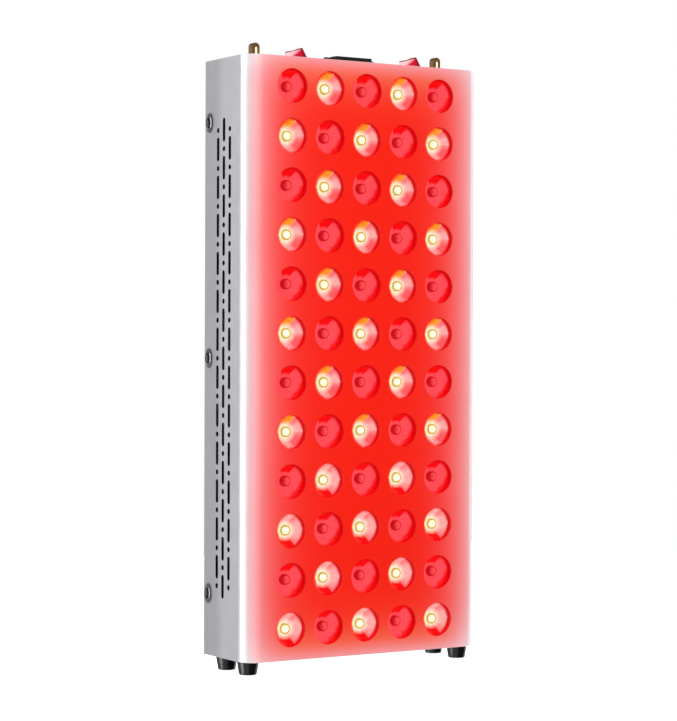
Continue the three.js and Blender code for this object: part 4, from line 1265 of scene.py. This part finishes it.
# Switch cases: half sizes of the well and the body, then bezel, floor and tabs
WELL, BODY = Vector((9.1, 4.2, 0)) * MM, Vector((10.3, 5.4, 0)) * MM
BEZEL, FLOOR_RISE, FLOOR_DEPTH = mm(1.4, 5, 1.2)
TAB_PLACE, TAB_HALF, TAB_DEPTH = mm(5.5, 2.4, 0.8)


class PANEL_OT_switches(bpy.types.Operator):
    """Two rocker switches: black bodies with a bezel, clear red rockers"""
    bl_idname = "panel_light.switches"
    bl_label = "Switches"

    def execute(self, context):
        fittings = context.scene.panel_fittings
        for side in SIDES:
            piece = as_object("switch_case_" + side, self.case("switch_body_" + side, fittings.soft_edge))
            complete(piece, [black_plastic(context)], ["switch_body_" + side])
            piece = as_object("switch_rocker_" + side, self.rocker(side))
            complete(piece, [self.clear_red(side, fittings)], ["rocker_" + side],
                     body="rocker_" + side)
        return {"FINISHED"}

    def pivot(self, side):
        """Middle of a rocker's pins."""
        place = middle("switch_body_" + side)
        return Vector((place.x, place.y, TOP - PIVOT_DROP))

    def clear_red(self, side, fittings):
        """Clear red plastic with painted light: a pale painted highlight at its low end, crimson below,
        painted shade at its high end.
        """
        material = finish("clear_red_" + side, fittings.rocker, 0.12, grain=500.0, mottle=0.2, wear=0.03,
                          bump=0.004)
        tree = material.node_tree
        shader = shader_of(material)
        shader.inputs["Coat Weight"].default_value = 0.6
        shader.inputs["Coat Roughness"].default_value = 0.05
        place = node(tree, "ShaderNodeMapping",
                     {0: object_place(tree), 1: self.pivot(side), 2: (0, -TILT, 0)}, vector_type="TEXTURE")
        across, _, up = node(tree, "ShaderNodeSeparateXYZ", {0: place.outputs[0]}).outputs
        slope = maths(tree, "MULTIPLY_ADD", across, CRIMSON_LEAN, maths(tree, "MULTIPLY", up, -1.0))
        # Painted highlight, turning to painted shade over the crest; crimson lower down; painted shade at the
        # high end
        pale = blend_colour(tree, ramp(tree, up, *CREST_FROM), ROCKER_HIGHLIGHT, ROCKER_SHADE)
        inner = blend_colour(tree, ramp(tree, slope, *CRIMSON_FROM), pale, CRIMSON)
        whole = blend_colour(tree, ramp(tree, across, *WEDGE_FROM), inner, ROCKER_SHADE)
        glowing(shader, whole, ROCKER_LIGHT)
        return material

    def case(self, node_name, soft):
        """Body below the plate, bezel above it, and the well that the rocker tips in."""
        low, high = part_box(node_name)
        place, bezel = (low + high) / 2, (high - low) / 2
        rim, floor = high.z - BEZEL, low.z + FLOOR_RISE
        bm = box_about(place, BODY.x, BODY.y, floor, rim)
        top = [face for face in bm.faces if face.normal.z > 0.9]
        for half, level in ((bezel, rim), (bezel, high.z), (WELL, high.z), (WELL, floor + FLOOR_DEPTH)):
            top = self.step(bm, top, place, half, level)
        rounded(bm, sharp_edges(bm, test=lambda point: point.z > high.z - 0.1 * MM), soft, 3)
        tabs = [box((x, place.y - TAB_HALF, low.z), (x + TAB_DEPTH, place.y + TAB_HALF, floor + MM))
                for x in (place.x - TAB_PLACE, place.x + TAB_PLACE)]
        return joined(bm, *tabs)

    def step(self, bm, faces, place, half, level):
        """Draws a face on to a new half size and height."""
        result = bmesh.ops.extrude_face_region(bm, geom=faces)
        for vert in new_verts(result):
            x = half.x if vert.co.x > place.x else -half.x
            y = half.y if vert.co.y > place.y else -half.y
            vert.co = Vector((place.x + x, place.y + y, level))
        bmesh.ops.delete(bm, geom=[face for face in faces if face.is_valid], context="FACES_ONLY")
        return [face for face in result["geom"] if isinstance(face, bmesh.types.BMFace)]

    def rocker(self, side):
        """Rocker about its pivot: a dished top, a keel below and two pins, tipped up at the right."""
        keel_end, keel_low = ROCKER_FOOT - KEEL / 2, -KEEL + ROCKER_DROP
        points = [(-keel_end, keel_low), (keel_end, keel_low), (ROCKER_FOOT, ROCKER_DROP)]
        steps = 10
        for step in range(steps + 1):
            share = 1 - 2 * step / steps
            points.append((CROWN * share, ROCKER_HEIGHT + ROCKER_DROP - DISH / 2 * (1 - share * share)))
        points.append((-ROCKER_FOOT, ROCKER_DROP))
        half = ROCKER_HALF
        bm = raised([(x, -half, z) for x, z in points], (0, 2 * half, 0))
        rounded(bm, sharp_edges(bm, math.radians(20)), 0.55 * MM, 3)
        end, wide = half + PIN_OUT, half + PIN_OUT - PIN_CHAMFER
        pin = turned([(0, -end), (PIN_END, -end), (PIN, -wide), (PIN, wide), (PIN_END, end), (0, end)],
                     FEW, ALONG_Y)
        return moved(spun(joined(bm, pin), -TILT, "Y"), self.pivot(side))


# Mains inlet: its flange lies a little over the plate, a raised face on it, the body under it
FLANGE_LEVEL, FLANGE_HEIGHT, FLANGE_CORNER = mm(0.3, 3.8, 1.6)
FACE_HALF, FACE_START, EAR_TIP = mm(17.7, 2, 4)
INLET_BODY = mm(13.8, 9.9)
# Its socket: half sizes, the two chamfers and the depth
SOCKET_HALF, CHAMFER, SOCKET_DEPTH = mm(12.3, 8.4), 4.4 * MM, 17 * MM


class PANEL_OT_inlet(bpy.types.Operator):
    """Mains inlet: an eared flange, a raised rim, a socket and three pins"""
    bl_idname = "panel_light.inlet"
    bl_label = "Mains inlet"

    def execute(self, context):
        low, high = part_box("inlet_socket")
        place, ear = (low + high) / 2, (high - low) / 2
        level = TOP + FLANGE_LEVEL
        outline = [(-FACE_HALF, -ear.y), (FACE_HALF, -ear.y), (ear.x, -EAR_TIP), (ear.x, EAR_TIP),
                   (FACE_HALF, ear.y), (-FACE_HALF, ear.y), (-ear.x, EAR_TIP), (-ear.x, -EAR_TIP)]
        flange = raised([(place.x + x, place.y + y, level) for x, y in outline], (0, 0, FLANGE_HEIGHT))
        rounded(flange, edges_along(flange, 2), FLANGE_CORNER, 5)
        rounded(flange, sharp_edges(flange, test=lambda point: point.z > level + 3 * MM), 0.5 * MM, 3)
        face = box_about(place, FACE_HALF, ear.y, level + FACE_START, high.z - 0.3 * MM)
        rounded(face, edges_along(face, 2), FLANGE_CORNER, 8)
        rounded(face, sharp_edges(face, test=lambda point: point.z > high.z - 0.4 * MM), 0.5 * MM, 4)
        body = box_about(place, *INLET_BODY, low.z, level + MM)
        rounded(body, edges_along(body, 2), 1.0 * MM, 3)
        piece = as_object("inlet_case", joined(flange, face, body))
        cut(piece, self.socket(place, high.z), overlapping=True)
        complete(piece, [black_plastic(context)], ["inlet_socket"])
        for name in ("line", "neutral", "earth"):
            pin = box(*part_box("inlet_pin_" + name))
            rounded(pin, sharp_edges(pin), 0.35 * MM, 3)
            piece = as_object("inlet_blade_" + name, pin)
            complete(piece, [zinc(context)], ["inlet_pin_" + name])
        return {"FINISHED"}

    def socket(self, place, top):
        """Cutter with two chamfered corners."""
        x_half, y_half = SOCKET_HALF
        outline = [(-x_half, -y_half), (x_half, -y_half), (x_half, y_half - CHAMFER),
                   (x_half - CHAMFER, y_half), (-x_half + CHAMFER, y_half), (-x_half, y_half - CHAMFER)]
        points = [(place.x + x, place.y + y, top - SOCKET_DEPTH) for x, y in outline]
        socket = raised(points, (0, 0, SOCKET_DEPTH + OVERRUN))
        return rounded(socket, edges_along(socket, 2), 0.8 * MM, 3)


# Hanging eyes: half sizes of the arch, and where it starts over the plate
ARCH_HALF, ARCH_DEPTH, ARCH_START = mm(3.5, 3, 1.0)
# The slot in it: left and right of the middle, its foot over the plate and the arch over it
SLOT_LEFT, SLOT_RIGHT, SLOT_FOOT, SLOT_CROWN, SLOT_ROUND = mm(0.7, 1.1, 2.6, 3.4, 0.88)
# Radius and height over the plate, in millimetres
COLLAR = ((0, 0.3), (4.7, 0.3), (5, 0.6), (5, 1.1), (4.7, 1.4), (0, 1.4))
STEM = ((0, -8), (2.1, -8), (2.5, -7.5), (2.5, 0.5), (0, 0.5))
# Painted highlight: the glow of the slots' walls
SLOT_HIGHLIGHT_GLOW = (1.0, 0.86, 0.66)


class PANEL_OT_eyes(bpy.types.Operator):
    """Brass hanging eyes with their collars and stems"""
    bl_idname = "panel_light.eyes"
    bl_label = "Hanging eyes"

    def execute(self, context):
        fittings = context.scene.panel_fittings
        brass = finish("brass", fittings.brass, 0.24, 0.75, grain=1300.0, mottle=0.3, wear=0.12, bump=0.01)
        slot_highlight = finish("brass_slot_highlight", fittings.slot_highlight, 0.4, 0.5, grain=900.0, mottle=0.1)
        glowing(shader_of(slot_highlight), SLOT_HIGHLIGHT_GLOW, 0.36)
        for side in SIDES:
            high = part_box("hanging_eye_" + side)[1]
            place = middle("hanging_eye_" + side)
            arch = box_about(place, ARCH_HALF, ARCH_DEPTH, TOP + ARCH_START, high.z)
            rounded(arch, edges_along(arch, 1, lambda point: point.z > high.z - MM), ARCH_HALF * 0.99, 14)
            piece = as_object("eye_" + side, arch)
            slot = box((place.x - SLOT_LEFT, place.y - 2 * ARCH_DEPTH, TOP + SLOT_FOOT),
                       (place.x + SLOT_RIGHT, place.y + 2 * ARCH_DEPTH, high.z - SLOT_CROWN))
            rounded(slot, edges_along(slot, 1, lambda point: point.z > high.z - 5 * MM), SLOT_ROUND, 8)
            # The slot's walls take the painted highlight
            cut(piece, paint_faces(slot, 1))
            softened(piece, 0.6 * MM, 3)
            parts = [turned([mm(*point) for point in profile], SOME) for profile in (COLLAR, STEM)]
            with_parts(piece, *[moved(part, (place.x, place.y, TOP)) for part in parts])
            complete(piece, [brass, slot_highlight], ["hanging_eye_" + side])
        return {"FINISHED"}


class PANEL_OT_inner_parts(bpy.types.Operator):
    """Finishes of the nodes that stay as they are inside"""
    bl_idname = "panel_light.inner_parts"
    bl_label = "Inner parts"

    def execute(self, context):
        metal = finish("drawn_aluminium", context.scene.panel_fittings.aluminium, 0.38, 1.0, grain=1800.0,
                       mottle=0.1, wear=0.08, stretch=(1, 1, 0.04))
        drawn = ("heat_sink", "led_driver_red", "led_driver_infrared")
        plated = ("heat_sink_rail_left", "heat_sink_rail_right", "hanging_nut_left", "hanging_nut_right")
        for names, material in ((drawn, metal), (plated, zinc(context))):
            for name in names:
                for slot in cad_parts[name].material_slots:
                    slot.material = material
        return {"FINISHED"}


# Each light: side angle, height angle and roll in degrees, distance, power, size, and what it leaves out
LIGHTS = (
    ("key", (-4, 8, 0), 2.6, 92.0, (2.4, 2.2), "visible_glossy"),
    ("strip", (-105, 0, 12), 1.3, 18.5, (0.68, 1.8), "visible_diffuse"),
    ("rim", (98, 0, 0), 1.6, 7.0, (0.7, 1.8), None),
    ("back", (160, 35, 0), 2.6, 60.0, (2.0, 1.6), "visible_glossy"),
)
# Strengths of the white of the world and the floor, and how mirrored walls brighten towards the left
PAPER_LIGHT, ROOM_LIGHT, FLOOR_LIGHT = 1.0, 0.44, 0.8
WALL_SHIFT, WALL_FROM, WALL_TO, WALL_LEAST, WALL_MOST = 0.5, 0.62, 0.97, 0.02, 0.6
WHITE = (1, 1, 1, 1)


def way_to(azimuth, elevation):
    """Direction from the object towards a side angle and a height angle; zero is its front."""
    flat = math.cos(elevation)
    return Vector((math.sin(azimuth) * flat, -math.cos(azimuth) * flat, math.sin(elevation)))


class PANEL_OT_stage(bpy.types.Operator):
    """Camera, lights, world and floor"""
    bl_idname = "panel_light.stage"
    bl_label = "Stage"

    def execute(self, context):
        stage = context.scene.panel_stage
        context.scene.view_settings.view_transform = "Standard"
        context.scene.view_settings.look = "None"
        self.camera(context, stage)
        self.floor(stage)
        self.world(context)
        for light in LIGHTS:
            self.area(context, *light)
        return {"FINISHED"}

    def camera(self, context, stage):
        """Camera at the stage's angles and distance from its target."""
        back = way_to(stage.azimuth, stage.elevation)
        right = (-back).cross(Vector((0, 0, 1))).normalized()
        up = right.cross(-back)
        side = math.cos(stage.roll) * right + math.sin(stage.roll) * up
        top = -math.sin(stage.roll) * right + math.cos(stage.roll) * up
        data = bpy.data.cameras.new("camera")
        data.sensor_fit = "VERTICAL"
        data.sensor_height = 36.0
        data.lens = stage.lens
        data.clip_end = 100.0
        camera = bpy.data.objects.new("camera", data)
        camera.matrix_world = Matrix((side, top, back)).transposed().to_4x4()
        camera.location = Vector((0, FRONT, BASE)) + Vector(stage.target) + back * stage.distance
        context.scene.collection.objects.link(camera)
        context.scene.camera = camera

    def floor(self, stage):
        """Pale floor that the camera sees and the object doesn't."""
        bm = bmesh.new()
        bmesh.ops.create_grid(bm, x_segments=1, y_segments=1, size=stage.floor_reach)
        floor = as_object("stage_floor", bm)
        material = finish("pale_floor", stage.floor, 0.6, grain=60.0, mottle=0.01, bump=0.0)
        glowing(shader_of(material), WHITE[:3], FLOOR_LIGHT)
        floor.data.materials.append(material)
        floor.visible_diffuse = False
        floor.visible_glossy = False
        floor.visible_shadow = False

    def world(self, context):
        """White for the camera, dimmer for the light on the object."""
        world = bpy.data.worlds.new("studio")
        world.use_nodes = True
        tree = world.node_tree
        tree.nodes.clear()
        path = node(tree, "ShaderNodeLightPath").outputs
        way = node(tree, "ShaderNodeTexCoord").outputs["Generated"]
        across = node(tree, "ShaderNodeSeparateXYZ", {0: way}).outputs[0]
        leftward = maths(tree, "MULTIPLY_ADD", across, -1.0, WALL_SHIFT)
        walls = ramp(tree, leftward, WALL_FROM, WALL_TO, WALL_LEAST, WALL_MOST)
        whites = [node(tree, "ShaderNodeBackground", {"Color": WHITE, "Strength": strength})
                  for strength in (ROOM_LIGHT, walls, PAPER_LIGHT)]
        room, dim, paper = [white.outputs[0] for white in whites]
        inner = node(tree, "ShaderNodeMixShader", {0: path["Is Glossy Ray"], 1: room, 2: dim}).outputs[0]
        whole = node(tree, "ShaderNodeMixShader", {0: path["Is Camera Ray"], 1: inner, 2: paper}).outputs[0]
        node(tree, "ShaderNodeOutputWorld", {0: whole})
        context.scene.world = world

    def area(self, context, name, degrees, distance, power, size, left_out):
        """Soft rectangular light that looks at the object's middle, turned about its own axis by its roll."""
        azimuth, elevation, roll = [math.radians(value) for value in degrees]
        data = bpy.data.lights.new(name, "AREA")
        data.shape = "RECTANGLE"
        data.size, data.size_y = size
        data.energy = power
        light = bpy.data.objects.new(name, data)
        way = way_to(azimuth, elevation)
        light.location = Vector((0, 0, (BASE + TOP) / 2)) + way * distance
        light.rotation_euler = (way.to_track_quat("Z", "Y") @ Quaternion((0, 0, 1), roll)).to_euler()
        context.scene.collection.objects.link(light)
        if left_out:
            setattr(light, left_out, False)


GROUPS = (("panel_shell", ShellSettings), ("panel_lamps", LampSettings), ("panel_fittings", FittingSettings),
          ("panel_stage", StageSettings))
OPERATORS = (PANEL_OT_shell, PANEL_OT_end_plates, PANEL_OT_rear_cover, PANEL_OT_reflectors, PANEL_OT_emitters,
             PANEL_OT_fans, PANEL_OT_screws, PANEL_OT_feet, PANEL_OT_switches, PANEL_OT_inlet, PANEL_OT_eyes,
             PANEL_OT_inner_parts, PANEL_OT_stage)


class PANEL_PT_pieces(bpy.types.Panel):
    """Lists the pieces of the light panel"""
    bl_idname = "PANEL_PT_pieces"
    bl_label = "Light panel"
    bl_space_type = "VIEW_3D"
    bl_region_type = "UI"
    bl_category = "Light panel"

    def draw(self, context):
        for operator in OPERATORS:
            self.layout.operator(operator.bl_idname)
        for name, group in GROUPS:
            column = self.layout.column(heading=name)
            for key in group.__annotations__:
                column.prop(getattr(context.scene, name), key)


def register():
    for name, group in GROUPS:
        bpy.utils.register_class(group)
        setattr(bpy.types.Scene, name, PointerProperty(type=group))
    for operator in OPERATORS:
        bpy.utils.register_class(operator)
    bpy.utils.register_class(PANEL_PT_pieces)


def unregister():
    bpy.utils.unregister_class(PANEL_PT_pieces)
    for operator in reversed(OPERATORS):
        bpy.utils.unregister_class(operator)
    for name, group in reversed(GROUPS):
        delattr(bpy.types.Scene, name)
        bpy.utils.unregister_class(group)


def main():
    register()
    for operator in OPERATORS:
        package, name = operator.bl_idname.split(".")
        getattr(getattr(bpy.ops, package), name)()
    bpy.context.view_layer.update()


if __name__ == "__main__":
    main()
